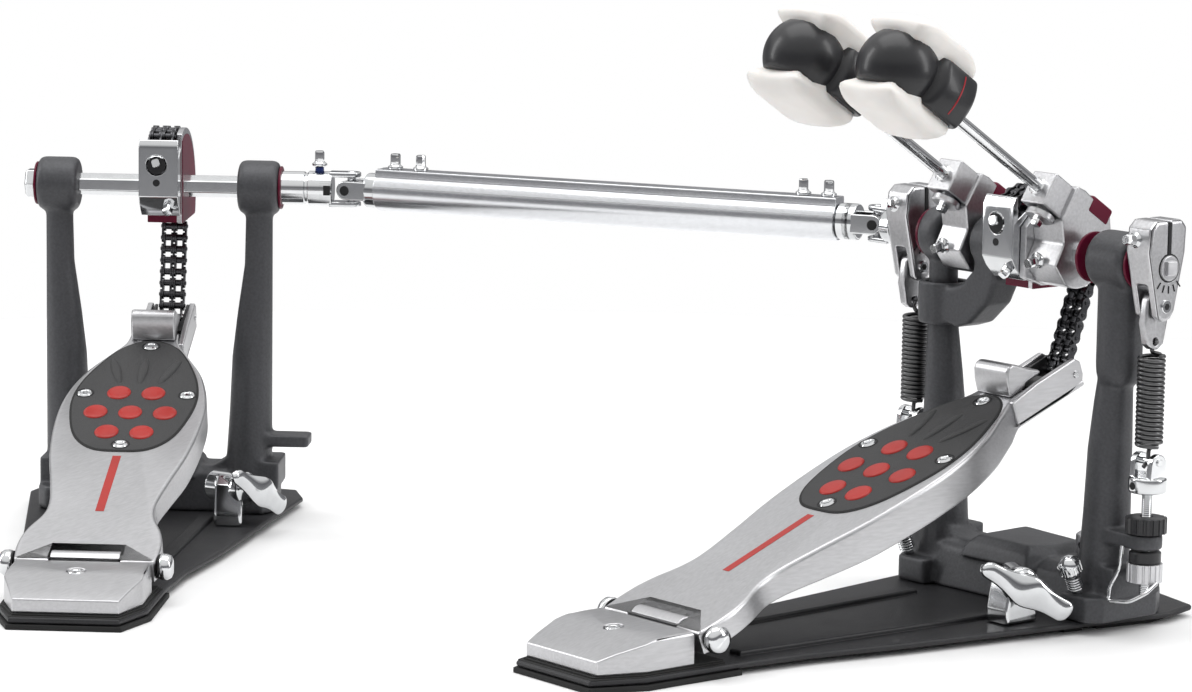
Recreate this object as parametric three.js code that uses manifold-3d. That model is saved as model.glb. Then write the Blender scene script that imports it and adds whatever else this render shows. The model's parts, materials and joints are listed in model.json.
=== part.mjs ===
// A double bass drum pedal: a main pedal with two beaters, a second pedal set down to its left and
// turned towards it, and a telescopic drive shaft with two universal joints between them.
// Millimetres, +Z up. Origin: on the floor, under the middle of the main pedal's footboard hinge.
// +Y points from the player's heel to the drum, +X to the player's right.
import * as THREE from 'three';
import * as BufferGeometryUtils from 'three/addons/utils/BufferGeometryUtils.js';
import Module from 'manifold-3d';

const wasm = await Module();
wasm.setup();

// ---------------------------------------------------------------- driving dimensions
const GAP = 0.3;
const AXLE_Y = 228;
const AXLE_Z = 182;
const HINGE_Z = 19;
const MAIN_TILT = 21.4;
const LEFT_TILT = 18.8;
const PLATE_TOP = 6;
const MAT_TOP = 2.6;
const HEEL_FRONT = -66;
const PLATE_REAR = 296;
const CAM_X = 4;
const CAM_HALF = 10.6;
const CAM_SHIFT = [6, -7];
const CHAIN_RADIUS = 36;
const CHAIN_HALF_WIDTH = 7;
const CHAIN_HALF_THICK = 2.9;
const CHAIN_DIP = 8.5;
const TOE_STOP_HALF = 12;
const CHAIN_PIN_ALONG = 270;
const CHAIN_PIN_UP = 0;
const HEX_FLATS = 10.4;
const BORE = HEX_FLATS / Math.sqrt(3) + GAP + 0.1;
const ROD_RADIUS = 3;
const ROD_OFFSET = 17.6;
const ROD_LEAN = 57;
const BLOCK_REACH = 34;
const HEAD_REACH = 140;
const HEAD_HALF = 26;
const BARREL_RADIUS = 14.5;
const MAIN_POSTS = { left: -55.5, right: 68.5 };
const LEFT_POSTS = { left: -53, right: 56 };
const LEFT_ORIGIN = [-272.9, -144.1];
const LEFT_YAW = 47.8;
const MAIN_JOINT_X = -105;
const LEFT_JOINT_X = 106;
const ROCKER_X = { main: 92, slave: -77 };
const SPRING_X = { main: 92, slave: -73.3 };
const SPRING_TOP = 140;
const SPRING_BOTTOM = 94;
const LUG = { main: 48, slave: 66 };

const rad = THREE.MathUtils.degToRad;

// ---------------------------------------------------------------- finishes
const finish = (color, roughness, metalness) =>
  new THREE.MeshStandardMaterial({ color, roughness, metalness });
const castGrey = finish(0x54565a, 0.55, 0.55);
const silver = finish(0xb9babb, 0.38, 0.85);
const chrome = finish(0xdadcde, 0.12, 1.0);
const tubeAlu = finish(0xe2e4e6, 0.28, 0.9);
const black = finish(0x1c1d1f, 0.6, 0.1);
const rubber = finish(0x141414, 0.9, 0.0);
const padGrey = finish(0x3d3d3c, 0.75, 0.0);
const wine = finish(0x6a0f22, 0.4, 0.2);
const white = finish(0xe9e6e2, 0.55, 0.0);
const chainBlack = finish(0x17181b, 0.35, 0.8);
const springDark = finish(0x3a3a3a, 0.4, 0.8);

// ---------------------------------------------------------------- small tools
const turned = (geometry, axis, degrees) =>
  geometry.applyMatrix4(new THREE.Matrix4().makeRotationAxis(axis, rad(degrees)));
const moved = (geometry, x, y, z) => geometry.translate(x, y, z);
const X = new THREE.Vector3(1, 0, 0);
const Y = new THREE.Vector3(0, 1, 0);
const Z = new THREE.Vector3(0, 0, 1);

// A box given by its lowest and highest corners.
function block(low, high) {
  const size = high.map((value, i) => value - low[i]);
  const mid = high.map((value, i) => (value + low[i]) / 2);
  return moved(new THREE.BoxGeometry(...size), ...mid);
}

// A round bar along an axis ('x', 'y' or 'z') from one end to the other, through a centre point.
function bar(axis, radius, from, to, centre, sides = 12, endRadius = radius) {
  const geometry = new THREE.CylinderGeometry(endRadius, radius, to - from, sides);
  if (axis === 'x') turned(geometry, Z, -90);
  if (axis === 'z') turned(geometry, X, 90);
  const mid = (from + to) / 2;
  const at = { x: [mid, ...centre], y: [centre[0], mid, centre[1]], z: [...centre, mid] }[axis];
  return moved(geometry, ...at);
}

// A lathe profile of [radius, along] pairs turned about an axis through a centre point.
function spun(axis, profile, centre, sides = 14) {
  const points = profile.map(([radius, along]) => new THREE.Vector2(radius, along));
  const geometry = new THREE.LatheGeometry(points, sides);
  if (axis === 'x') turned(geometry, Z, -90);
  if (axis === 'z') turned(geometry, X, 90);
  const at = { x: [0, ...centre], y: [centre[0], 0, centre[1]], z: [...centre, 0] }[axis];
  return moved(geometry, ...at);
}

// A flat outline of [x, y] points pushed up from one height to another.
function plate(points, low, high, bevel = 0) {
  const shape = new THREE.Shape(points.map(([x, y]) => new THREE.Vector2(x, y)));
  const settings = { depth: high - low - 2 * bevel, bevelEnabled: bevel > 0, bevelThickness: bevel };
  settings.bevelSize = bevel;
  settings.bevelOffset = -bevel;
  settings.bevelSegments = 1;
  return moved(new THREE.ExtrudeGeometry(shape, settings), 0, 0, low + bevel);
}

// An outline of [y, z] points pushed along X from one place to another.
function slab(points, from, to, bevel = 0) {
  const geometry = plate(points, from, to, bevel);
  const swap = new THREE.Matrix4().makeBasis(Y, Z, X);
  return geometry.applyMatrix4(swap);
}

// Points on an arc of [x, y], angles in degrees, both ends included.
function arc(cx, cy, radius, from, to, steps) {
  return Array.from({ length: steps + 1 }, (_, i) => {
    const angle = rad(from + ((to - from) * i) / steps);
    return [cx + radius * Math.cos(angle), cy + radius * Math.sin(angle)];
  });
}

// Half an outline of [half width, along] points made whole by its mirror image.
const mirrored = (half) => [...half, ...half.map(([x, y]) => [-x, y]).reverse()];

// A smooth closed outline through a few points.
function smooth(points, steps) {
  const corners = points.map(([x, y]) => new THREE.Vector3(x, y, 0));
  const curve = new THREE.CatmullRomCurve3(corners, true, 'centripetal');
  return curve.getSpacedPoints(steps).slice(0, -1).map((p) => [p.x, p.y]);
}

function solid(geometry) {
  const bare = geometry.index ? geometry.toNonIndexed() : geometry.clone();
  bare.deleteAttribute('normal');
  bare.deleteAttribute('uv');
  const merged = BufferGeometryUtils.mergeVertices(bare, 1e-3);
  const vertProperties = new Float32Array(merged.attributes.position.array);
  const triVerts = new Uint32Array(merged.index.array);
  return new wasm.Manifold(new wasm.Mesh({ numProp: 3, vertProperties, triVerts }));
}

function shell(manifold) {
  const mesh = manifold.getMesh();
  const geometry = new THREE.BufferGeometry();
  geometry.setAttribute('position', new THREE.BufferAttribute(mesh.vertProperties.slice(), 3));
  geometry.setIndex(new THREE.BufferAttribute(mesh.triVerts.slice(), 1));
  geometry.computeVertexNormals();
  return geometry;
}

const joined = (...parts) => shell(parts.map(solid).reduce((a, b) => a.add(b)));
const cut = (body, ...tools) => shell(tools.map(solid).reduce((a, b) => a.subtract(b), solid(body)));
const common = (a, b) => shell(solid(a).intersect(solid(b)));

function piece(parent, name, geometry, material) {
  const mesh = new THREE.Mesh(geometry, material);
  mesh.name = name;
  parent.add(mesh);
}

// ---------------------------------------------------------------- one pedal's floor parts
const plateHalf = (inset) => [
  [27 - inset, HEEL_FRONT + inset],
  [37 - inset, HEEL_FRONT + 26],
  [38 - inset, 14],
  [42 - inset, 55],
  [53 - inset, 110],
  [66 - inset, 200],
  [76 - inset, 262],
  [70 - inset, 284 - inset],
  [26, PLATE_REAR - inset],
];

function basePlate() {
  const sheet = plate(mirrored(plateHalf(0)), MAT_TOP + GAP, PLATE_TOP, 0.8);
  const rib = (x, from, to) => plate([[x - 4, from], [x + 4, from], [x * 1.35 + 4, to], [x * 1.35 - 4, to]],
    PLATE_TOP - 1, PLATE_TOP + 2.4, 0.7);
  return joined(sheet, rib(-24, 24, 190), rib(24, 24, 190));
}

// One rubber mat: a ridged pad under the heel, a pad under the posts and a thin web between them.
function rubberMat() {
  const heel = mirrored([[28, HEEL_FRONT - 1], [38.5, HEEL_FRONT + 26], [39, 16]]);
  const rear = mirrored([[60, 205], [69, 256], [64, 276], [24, 286]]);
  return joined(
    plate(heel, 0, MAT_TOP),
    plate(rear, 0, MAT_TOP),
    block([-10, 10, 0.8], [10, 210, MAT_TOP]),
  );
}

function heelPlate() {
  const half = [[26, HEEL_FRONT + 5], [34, HEEL_FRONT + 28], [34, -9]];
  const body = plate(mirrored(half), PLATE_TOP + GAP, 23, 1.2);
  const slope = slab([[HEEL_FRONT - 10, 9], [HEEL_FRONT + 14, 17], [-32, 22.2], [0, 24.5], [0, 40],
    [HEEL_FRONT - 10, 40]], -50, 50);
  const tongue = joined(
    block([-17.4, -14, 10], [17.4, 0, 22]),
    bar('x', 7, -17.4, 17.4, [0, HINGE_Z], 20),
  );
  const whole = joined(cut(body, slope), tongue);
  return cut(whole, bar('x', 3.4, -30, 30, [0, HINGE_Z], 12), bar('z', 4.4, 17, 40, [0, -30], 16, 6));
}

function hingePin() {
  const reach = 39;
  return joined(
    bar('x', 3, -reach, reach, [0, HINGE_Z], 12),
    spun('x', [[0, 36.6], [6.2, 36.6], [6.8, 38], [6.2, 42], [4, 43.2], [0, 43.6]], [0, HINGE_Z], 12),
    spun('x', [[0, -43.6], [4, -43.2], [6.2, -42], [6.8, -38], [6.2, -36.6], [0, -36.6]], [0, HINGE_Z], 12),
  );
}

// ---------------------------------------------------------------- the treadle, in its own tilted frame
const BOARD_TOP = 6;
const BOARD_DEEP = -5.5;
const TIP = 275;
const boardHalf = [[36, -6.5], [36, 16], [33, 27], [27, 42], [27, 54], [31, 78], [36, 106], [38.5, 138],
  [37.5, 166], [31, 192], [20, 214], [13.5, 226], [13, 238]];
const padOutline = smooth([[0, 105.5], [15, 108], [26, 122], [32, 148], [32.5, 170], [27, 194], [15, 220],
  [0, 229], [-15, 220], [-27, 194], [-32.5, 170], [-32, 148], [-26, 122], [-15, 108]], 28);
const CHANNEL = [CAM_X - 13, CAM_X + 13];

function footboard() {
  const board = plate(mirrored(boardHalf), BOARD_DEEP, BOARD_TOP, 1.2);
  const channel = plate([[CHANNEL[0], 224], [CHANNEL[1], 224], [CHANNEL[1], TIP - 4], [CHANNEL[1] - 4, TIP],
    [CHANNEL[0] + 4, TIP], [CHANNEL[0], TIP - 4]], -8, BOARD_TOP, 1);
  const walls = block([CHANNEL[0], 243, 0], [CHANNEL[1], TIP - 4, 7.8]);
  const inner = boardHalf.slice(2, -2).map(([x, v]) => [x - 4, v]);
  const hollow = plate(mirrored([[24, 22], ...inner]), BOARD_DEEP - 5, BOARD_TOP - 4.5);
  const recess = plate(padOutline.map(([x, v]) => [x * 1.014, 167 + (v - 167) * 1.008]), BOARD_TOP - 1.4, 20);
  return cut(
    joined(board, channel, walls),
    hollow,
    recess,
    block([-18, -20, -20], [18, 8.5, 20]),
    bar('x', 3.4, -50, 50, [0, 0], 12),
    block([CHANNEL[0] + 3, 241.5, -5], [CHANNEL[1] - 3, TIP + 5, 20]),
    block([-40, -20, -20], [40, -3, -3]),
  );
}

function tractionPlate() {
  const rib = (x, lean) => turned(block([x - 1.6, 180, BOARD_TOP + 0.2], [x + 1.6, 206, BOARD_TOP + 1.4]), Z, lean);
  return joined(
    plate(padOutline, BOARD_TOP - 1.1, BOARD_TOP + 0.5, 0.3),
    rib(0, 0),
    rib(26, 5),
    rib(-26, -5),
  );
}

function toeStop() {
  return slab([[229.5, BOARD_TOP + GAP], [231, 19], [234, 21.5], [237, 21.5], [253, 10], [253, 8.4],
    [241, 8.4], [241, BOARD_TOP + GAP]], -TOE_STOP_HALF, TOE_STOP_HALF, 1);
}

function chainBracket() {
  const half = 9.4;
  return cut(
    block([CAM_X - half, 242.3, -4.6], [CAM_X + half, TIP - 1, 6]),
    block([CAM_X - CHAIN_HALF_WIDTH - 0.8, 254, -3.4], [CAM_X + CHAIN_HALF_WIDTH + 0.8, TIP + 2, 12]),
  );
}

function treadle(parent, prefix, tilt) {
  const group = new THREE.Group();
  group.position.z = HINGE_Z;
  group.rotation.x = rad(tilt);
  piece(group, `${prefix}footboard`, footboard(), silver);
  piece(group, `${prefix}traction_plate`, tractionPlate(), padGrey);
  piece(group, `${prefix}toe_stop`, toeStop(), silver);
  piece(group, `${prefix}chain_bracket`, chainBracket(), black);
  parent.add(group);
}

// ---------------------------------------------------------------- axle, cam and chain
function hexShaft(from, to) {
  return bar('x', HEX_FLATS / Math.sqrt(3), from, to, [AXLE_Y, AXLE_Z], 6);
}

const onAxle = (points) => points.map(([y, z]) => [AXLE_Y + y, AXLE_Z + z]);
const axleBore = (from, to) => bar('x', BORE, from, to, [AXLE_Y, AXLE_Z], 14);
const SPLIT = -7;

function camBlock() {
  const outline = [[SPLIT, -15], [-12, -15], [-18, -9], [-21, -4], [-21, 22], [-18.8, 26.5], [-17.6, 26.5],
    [-17.4, 15.4], [-13, 18.6], [SPLIT, 21.6]].reverse();
  const body = slab(onAxle(outline), CAM_X - CAM_HALF, CAM_X + CAM_HALF);
  const windowCut = bar('y', 5.6, AXLE_Y - 30, AXLE_Y - 16, [CAM_X - 1, AXLE_Z + 13], 14);
  return cut(body, windowCut, axleBore(-20, 40));
}

// The cam track: an off-centre round sector under the chain with a taller cheek on its right.
function camInsert() {
  const [shiftY, shiftZ] = CAM_SHIFT;
  const floor = -26;
  const near = SPLIT + GAP;
  const sector = (radius) => {
    const low = THREE.MathUtils.radToDeg(Math.asin((floor - shiftZ) / radius));
    const high = THREE.MathUtils.radToDeg(Math.acos((near - shiftY) / radius));
    return onAxle([[near, floor], ...arc(shiftY, shiftZ, radius, low, high, 14)]);
  };
  const track = slab(sector(CHAIN_RADIUS - CHAIN_HALF_THICK - GAP), CAM_X - 8, CAM_X + 8);
  const cheek = slab(sector(CHAIN_RADIUS + 2), CAM_X + 7.6, CAM_X + 11);
  return cut(joined(track, cheek), axleBore(-20, 40));
}

// Where the straight run of chain leaves the cam, and how long it is down to the treadle's pin.
function chainGeometry(tilt) {
  const t = rad(tilt);
  const pinY = CHAIN_PIN_ALONG * Math.cos(t) - CHAIN_PIN_UP * Math.sin(t);
  const pinZ = HINGE_Z + CHAIN_PIN_ALONG * Math.sin(t) + CHAIN_PIN_UP * Math.cos(t);
  const y = pinY - AXLE_Y - CAM_SHIFT[0];
  const z = pinZ - AXLE_Z - CAM_SHIFT[1];
  const reach = Math.hypot(y, z);
  const leave = Math.atan2(z, y) + Math.acos(CHAIN_RADIUS / reach);
  return { leave: THREE.MathUtils.radToDeg(leave), length: Math.sqrt(reach ** 2 - CHAIN_RADIUS ** 2) };
}

function chainWrap(tilt) {
  const [shiftY, shiftZ] = CAM_SHIFT;
  const low = chainGeometry(tilt).leave + 5.4;
  const high = 125;
  return slab(onAxle([
    ...arc(shiftY, shiftZ, CHAIN_RADIUS + CHAIN_HALF_THICK, low, high, 16),
    ...arc(shiftY, shiftZ, CHAIN_RADIUS - CHAIN_HALF_THICK, high, low, 16),
  ]), CAM_X - CHAIN_HALF_WIDTH, CAM_X + CHAIN_HALF_WIDTH);
}

// The run stops short of its pin: a rigid run dips below the pin's path halfway through the stroke.
function chainRun(tilt) {
  const { leave, length } = chainGeometry(tilt);
  const strip = [
    ...arc(0, 0, CHAIN_HALF_THICK, 0, 180, 6),
    ...arc(0, CHAIN_DIP - length, CHAIN_HALF_THICK, 180, 360, 6),
  ];
  const geometry = slab(strip, CAM_X - CHAIN_HALF_WIDTH, CAM_X + CHAIN_HALF_WIDTH);
  turned(geometry, X, leave);
  const [y, z] = arc(...onAxle([CAM_SHIFT])[0], CHAIN_RADIUS, leave, leave, 1)[0];
  return moved(geometry, 0, y, z);
}

function camSet(parent, prefix, tilt) {
  piece(parent, `${prefix}cam_block`, camBlock(), chrome);
  piece(parent, `${prefix}cam_insert`, camInsert(), wine);
  piece(parent, `${prefix}chain_wrap`, chainWrap(tilt), chainBlack);
  piece(parent, `${prefix}chain_run`, chainRun(tilt), chainBlack);
}

// ---------------------------------------------------------------- beaters
// Beater pieces are drawn with the rod upright, then leaned back about the axle.
const leaned = (geometry) => moved(turned(moved(geometry, 0, -AXLE_Y, -AXLE_Z), X, ROD_LEAN), 0, AXLE_Y, AXLE_Z);
const rodY = AXLE_Y + ROD_OFFSET;

function beaterHub(x, half) {
  const outline = [
    ...arc(0, 0, 17, 180, 300, 6),
    [19, -14], [26, -8], [28, 14], [27, 20], [8, 20], [-1, 12], [-13, 11],
  ];
  const arm = slab(onAxle(outline), x - half, x + half, 1);
  const head = block([x - 8, rodY - 8.5, AXLE_Z + 16], [x + 8, rodY + 8.5, AXLE_Z + BLOCK_REACH]);
  const drilled = cut(joined(arm, head), axleBore(x - 30, x + 30),
    bar('z', ROD_RADIUS + GAP, AXLE_Z - 40, AXLE_Z + 60, [x, rodY]));
  return leaned(drilled);
}

function beaterRod(x) {
  return leaned(bar('z', ROD_RADIUS, AXLE_Z - 6, AXLE_Z + HEAD_REACH - 4, [x, rodY]));
}

// The core is a turned bottle shape, flattened on its striking sides.
function coreSolid(x, grow) {
  const g = grow;
  const profile = [[0, -25 - g], [19 + g, -25 - g], [23.5 + g, -20], [24 + g, -5], [21 + g, -1], [15.5 + g, 1],
    [15 + g, 5], [17.5 + g, 9], [19 + g, 14], [18 + g, 20], [14 + g, 24.5], [8, 27 + g], [0, 27.4 + g]];
  const body = spun('z', profile, [0, 0], 16);
  return moved(common(body, block([-40, -13.5 - g, -40], [40, 13.5 + g, 40])), x, rodY, AXLE_Z + HEAD_REACH);
}

const bridge = (x, grow) => block(
  [x - 5 - grow, rodY - 24, AXLE_Z + HEAD_REACH + 9 - grow],
  [x + 5 + grow, rodY + 24, AXLE_Z + HEAD_REACH + 17 + grow],
);

const rodHole = (x) => bar('z', ROD_RADIUS + GAP, AXLE_Z + 90, AXLE_Z + HEAD_REACH - 3, [x, rodY]);

function beaterCore(x) {
  return leaned(cut(coreSolid(x, 0), bridge(x, GAP), rodHole(x)));
}

// The striking pad: a rounded block on both sides of the core, one piece through the core's window.
function beaterPad(x) {
  const r = 15;
  const h = HEAD_HALF;
  const side = [
    ...arc(h - r, h - r - 1, r, 0, 90, 3), ...arc(r - h, h - r - 1, r, 90, 180, 3),
    ...arc(r - h, r - h, r, 180, 270, 3), ...arc(h - r, r - h, r, 270, 360, 3),
  ];
  const front = [...arc(0, 0, 27, -45, 45, 4), ...arc(0, 0, 27, 135, 225, 4)];
  const blockShape = slab(side.map(([y, z]) => [rodY + y, AXLE_Z + HEAD_REACH + z]), x - 19.5, x + 19.5);
  const crown = moved(plate(front.map(([a, b]) => [b, a]), -60, 60), x, rodY, AXLE_Z + HEAD_REACH);
  const rounded = common(blockShape, crown);
  const hollowed = cut(rounded, coreSolid(x, GAP), rodHole(x));
  return leaned(joined(hollowed, bridge(x, 0)));
}

function beaterSet(parent, prefix, x, hubHalf) {
  piece(parent, `${prefix}beater_hub`, beaterHub(x, hubHalf), silver);
  piece(parent, `${prefix}beater_rod`, beaterRod(x), chrome);
  piece(parent, `${prefix}beater_core`, beaterCore(x), black);
  piece(parent, `${prefix}beater_pad`, beaterPad(x), white);
}

// ---------------------------------------------------------------- spring rocker, link, spring and tension set
const PIN = [-1.5, -18.4];

function rocker(x) {
  const outline = [[-12.5, 19.3], [-8.5, 23], [8.5, 23], [11.8, 19.3], [11.2, 7], [5, -21], ...arc(-1.4, -20, 6, -25, -150, 5),
    [-13.8, 8]].reverse();
  const body = slab(onAxle(outline), x - 8, x + 8, 1);
  const fork = slab(onAxle([[-30, -8.4], [-30, -40], [30, -40], [30, -8.4]]), x - 3.6, x + 3.6);
  const topSlot = block([x - 20, AXLE_Y - 0.9, AXLE_Z + 5], [x + 20, AXLE_Y + 0.9, AXLE_Z + 30]);
  const pinHole = bar('x', 2.3, x - 20, x + 20, [AXLE_Y + PIN[0], AXLE_Z + PIN[1]], 10);
  return cut(body, fork, topSlot, axleBore(x - 20, x + 20), pinHole);
}

function springLink(x) {
  const slot = [...arc(PIN[0], PIN[1] + 1, 3.6, 0, 180, 5), ...arc(PIN[0], PIN[1] - 3, 3.6, 180, 360, 5)];
  const outline = [
    ...arc(PIN[0], PIN[1], 6.6, 20, 160, 6), [-9.2, -27], [-6.8, -37.5], [-3.2, -40], [0.2, -40], [3.8, -37.5], [6.2, -27],
  ];
  const eye = bar('x', 2, x - 5, x + 5, [AXLE_Y + PIN[0], AXLE_Z - 36], 10);
  return cut(slab(onAxle(outline), x - 2.4, x + 2.4, 0.5), slab(onAxle(slot), x - 5, x + 5), eye);
}

function springBody(x) {
  const y = AXLE_Y + PIN[0];
  return spun('z', [[0, SPRING_BOTTOM], [4.5, SPRING_BOTTOM], [6.4, SPRING_BOTTOM + 4], [6.4, SPRING_TOP - 4],
    [4.5, SPRING_TOP], [0, SPRING_TOP]], [x, y], 14);
}

function tensionRod(x, lug) {
  const y = AXLE_Y + PIN[0];
  const collar = spun('z', [[0, 72], [8.6, 72], [9.4, 73.5], [9.4, 79], [8.2, 80.4], [0, 80.4]], [x, y], 14);
  const ear = (side) => slab([...arc(y, 86.5, 5, 0, 180, 6), [y - 5, 79], [y + 5, 79]], x + side - 1.7, x + side + 1.7);
  const end = lug - 26;
  return joined(
    collar,
    ear(-5.6),
    ear(5.6),
    bar('z', 2.6, end, 74, [x, y], 12),
    bar('x', 1.8, x - 6, x + 6, [y, 87.5], 10),
  );
}

function ringNut(x, low, high, radius, sides = 14) {
  const y = AXLE_Y + PIN[0];
  const hole = 2.6 + GAP;
  const c = 0.8;
  return spun('z', [[hole, low], [radius - c, low], [radius, low + c], [radius, high - c], [radius - c, high],
    [hole, high], [hole, low]], [x, y], sides);
}

function springSet(parent, prefix, rockerX, springX, lug) {
  piece(parent, `${prefix}spring_rocker`, rocker(rockerX), silver);
  piece(parent, `${prefix}spring_link`, springLink(rockerX), silver);
  piece(parent, `${prefix}spring`, springBody(springX), springDark);
  piece(parent, `${prefix}tension_rod`, tensionRod(springX, lug), chrome);
}

// ---------------------------------------------------------------- cast frames
function barrel(x, half) {
  const r = BARREL_RADIUS;
  return spun('x', [[0, x - half], [r - 3.2, x - half], [r, x - half + 3], [r, x + half - 3],
    [r - 3.2, x + half], [0, x + half]], [AXLE_Y, AXLE_Z], 16);
}

// A post: a tapered round bar that swells towards its foot, with the foot set over to one side.
const POST = { low: PLATE_TOP + GAP, high: AXLE_Z - 10, foot: 12.5, top: 8 };

function post(x, footShift) {
  const round = bar('z', POST.foot, POST.low, POST.high, [x, AXLE_Y], 14, POST.top);
  const shear = footShift / (AXLE_Z - POST.low);
  const slant = new THREE.Matrix4().makeShear(0, 0, 0, 0, -shear, 0);
  return moved(moved(round, 0, 0, -AXLE_Z).applyMatrix4(slant), 0, 0, AXLE_Z);
}

function foot(x, outward, inward) {
  const side = Math.sign(x);
  const [near, far] = [x - side * inward, x + side * outward];
  const outline = [[near, 206], [far - side * 6, 206], [far, 214], [far, 250], [far - side * 8, 260], [near, 260]];
  const low = plate(outline, PLATE_TOP + GAP, 20, 1.4);
  const high = plate([[x - 10, 212], [x + 13, 212], [x + 11, 250], [x - 10, 250]], 18, 34, 1.4);
  return joined(low, high);
}

function crossBridge(left, right) {
  const mid = (left + right) / 2;
  const low = slab([[212, PLATE_TOP + GAP], [216, 26], [222, 30], [244, 30], [252, 22], [254, PLATE_TOP + GAP]], left, right);
  const hood = plate([[mid - 22, 216], [mid + 16, 216], [mid + 22, 228], [mid + 20, 252], [mid - 24, 256]], 22, 36, 3);
  return joined(low, hood);
}

// Rounded gusset between a post and the bridge: a square filled in under a quarter circle.
function gusset(x, side) {
  const r = 26;
  const from = x + side * 8;
  const curve = arc(from + side * r, 28 + r, r, side > 0 ? 180 : 360, 270, 5);
  const outline = [[from - side * 4, 28 + r], ...curve, [from + side * r, 22], [from - side * 4, 22]];
  const shape = new THREE.Shape(outline.map(([px, pz]) => new THREE.Vector2(px, pz)));
  const geometry = new THREE.ExtrudeGeometry(shape, { depth: 12, bevelEnabled: false });
  turned(geometry, X, 90);
  return moved(geometry, 0, AXLE_Y + 6, 0);
}

// A flat ear that carries a tension rod beside a post.
function lugEar(x, reachX, z) {
  const y = AXLE_Y + PIN[0];
  const side = Math.sign(reachX - x);
  const ear = plate([[x, y - 8], [reachX, y - 8], ...arc(reachX, y, 8, side > 0 ? -90 : 270, 90, 6),
    [x, y + 8]], z - 3.6, z + 3.6, 0.6);
  return cut(ear, bar('z', 2.6 + GAP, z - 10, z + 10, [reachX, y], 14));
}

const SPUR_SPOTS = { left: [-58, 213], right: [62, 213] };
const SPUR_LEAN = 24;

function castFrame(posts, barrelHalves, lugs, spurs) {
  const { left, right } = posts;
  const parts = [
    post(left, 5), post(right, 0),
    barrel(left, barrelHalves[0]), barrel(right, barrelHalves[1]),
    foot(left, 10, 14), foot(right, 10, 16),
    crossBridge(left, right),
    gusset(left, 1), gusset(right, -1),
    ...lugs,
  ];
  const holes = [axleBore(left - 30, left + 30), axleBore(right - 30, right + 30), ...spurs];
  return cut(joined(...parts), ...holes);
}

// ---------------------------------------------------------------- clamps and small hardware
const CLAMP = { x: 50, y: 183, z: 20 };
const WING_SWING = -30;
const WING_TILT = -38;

// The wing screw's pieces are drawn along X from the clamp, then swung towards the player.
function swung(geometry) {
  const { x, y, z } = CLAMP;
  return moved(turned(geometry, Z, WING_SWING), x, y, z + 5);
}

function clampBlock() {
  const { x, y, z } = CLAMP;
  const body = slab([[y - 11, PLATE_TOP + GAP], [y - 11, 14], [y - 8, z + 8], [y, z + 12], [y + 8, z + 5],
    [y + 10, PLATE_TOP + GAP]], x - 11, x + 4, 1);
  const sleeve = swung(bar('x', 8, -16, 5, [0, 0], 16));
  return cut(joined(body, sleeve), swung(bar('x', 3.4, -6, 20, [0, 0])), swung(bar('x', 3, -20, -12, [0, 0], 6)));
}

function wingScrew() {
  const reach = 20;
  const lobe = 6;
  const wings = [
    ...arc(reach, 4, lobe, -60, 120, 5), ...arc(0, 0, 8, 70, 110, 2),
    ...arc(-reach, -4, lobe, 120, 300, 5), ...arc(0, 0, 8, 250, 290, 2),
  ];
  const lobes = turned(slab(wings, 13, 18, 1.2), X, WING_TILT);
  const boss = spun('x', [[0, 9.4], [7, 9.4], [6, 13], [5.5, 19], [3, 21], [0, 21]], [0, 0]);
  return swung(joined(lobes, boss, bar('x', 3, -4, 12, [0, 0])));
}

function spur([x, y]) {
  const profile = [[0, -16.5], [1.6, -11], [2.6, -9], [2.6, 7], [3.6, 7.4], [3.6, 15], [5, 16], [5.4, 18], [5, 22],
    [2.6, 24], [0, 24.4]];
  return moved(turned(spun('z', profile, [0, 0], 14), X, SPUR_LEAN), x, y, 16);
}

const spurHole = ([x, y]) => moved(turned(bar('z', 3.6 + GAP, -40, 16.4, [0, 0], 12), X, SPUR_LEAN), x, y, 16);
const spurSeat = ([x, y]) => moved(turned(bar('z', 7, 7, 60, [0, 0], 14), X, SPUR_LEAN), x, y, 16);

function knurledKnob() {
  const x = 40;
  const y = 245;
  const low = 30.6;
  const high = 42;
  return cut(spun('z', [[0, low], [8.4, low], [9.4, low + 1], [9.4, high - 1], [8.4, high], [0, high]], [x, y], 20),
    bar('y', 1.9, y - 20, y + 20, [x, (low + high) / 2], 10));
}

// ---------------------------------------------------------------- outrigger arm and its bearing
const OUTRIGGER_X = -17;

function outriggerArm() {
  const half = 8.5;
  const bearing = spun('x', [[0, OUTRIGGER_X - half], [11.5, OUTRIGGER_X - half], [13.5, OUTRIGGER_X - half + 2],
    [13.5, OUTRIGGER_X + half - 2], [11.5, OUTRIGGER_X + half], [0, OUTRIGGER_X + half]], [AXLE_Y, AXLE_Z], 16);
  const outline = [[-47, 157], [-47, 140], [-37, 137], [-27, 140], [-15, 151], [-9, 163], [-9, 174], [-25, 174],
    [-25, 168], [-33, 160], [-39, 158]];
  const shape = new THREE.Shape(outline.map(([px, pz]) => new THREE.Vector2(px, pz)));
  const bevel = { bevelThickness: 2, bevelSize: 2, bevelOffset: -2, bevelSegments: 2 };
  const hook = new THREE.ExtrudeGeometry(shape, { depth: 15, ...bevel });
  turned(hook, X, 90);
  moved(hook, 0, AXLE_Y + 7.5, 0);
  const centre = [MAIN_POSTS.left + 1.1, AXLE_Y];
  const collar = bar('z', 13.2, 137, 158.5, centre, 16);
  const hole = bar('z', 10, 120, 170, centre, 14);
  return cut(joined(bearing, hook, collar), hole, axleBore(-40, 10));
}

// ---------------------------------------------------------------- drive shaft and universal joints
const EAR = { inner: 6.6, outer: 9.4, pin: 2.4, tip: 4.6, root: 12 };

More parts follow.
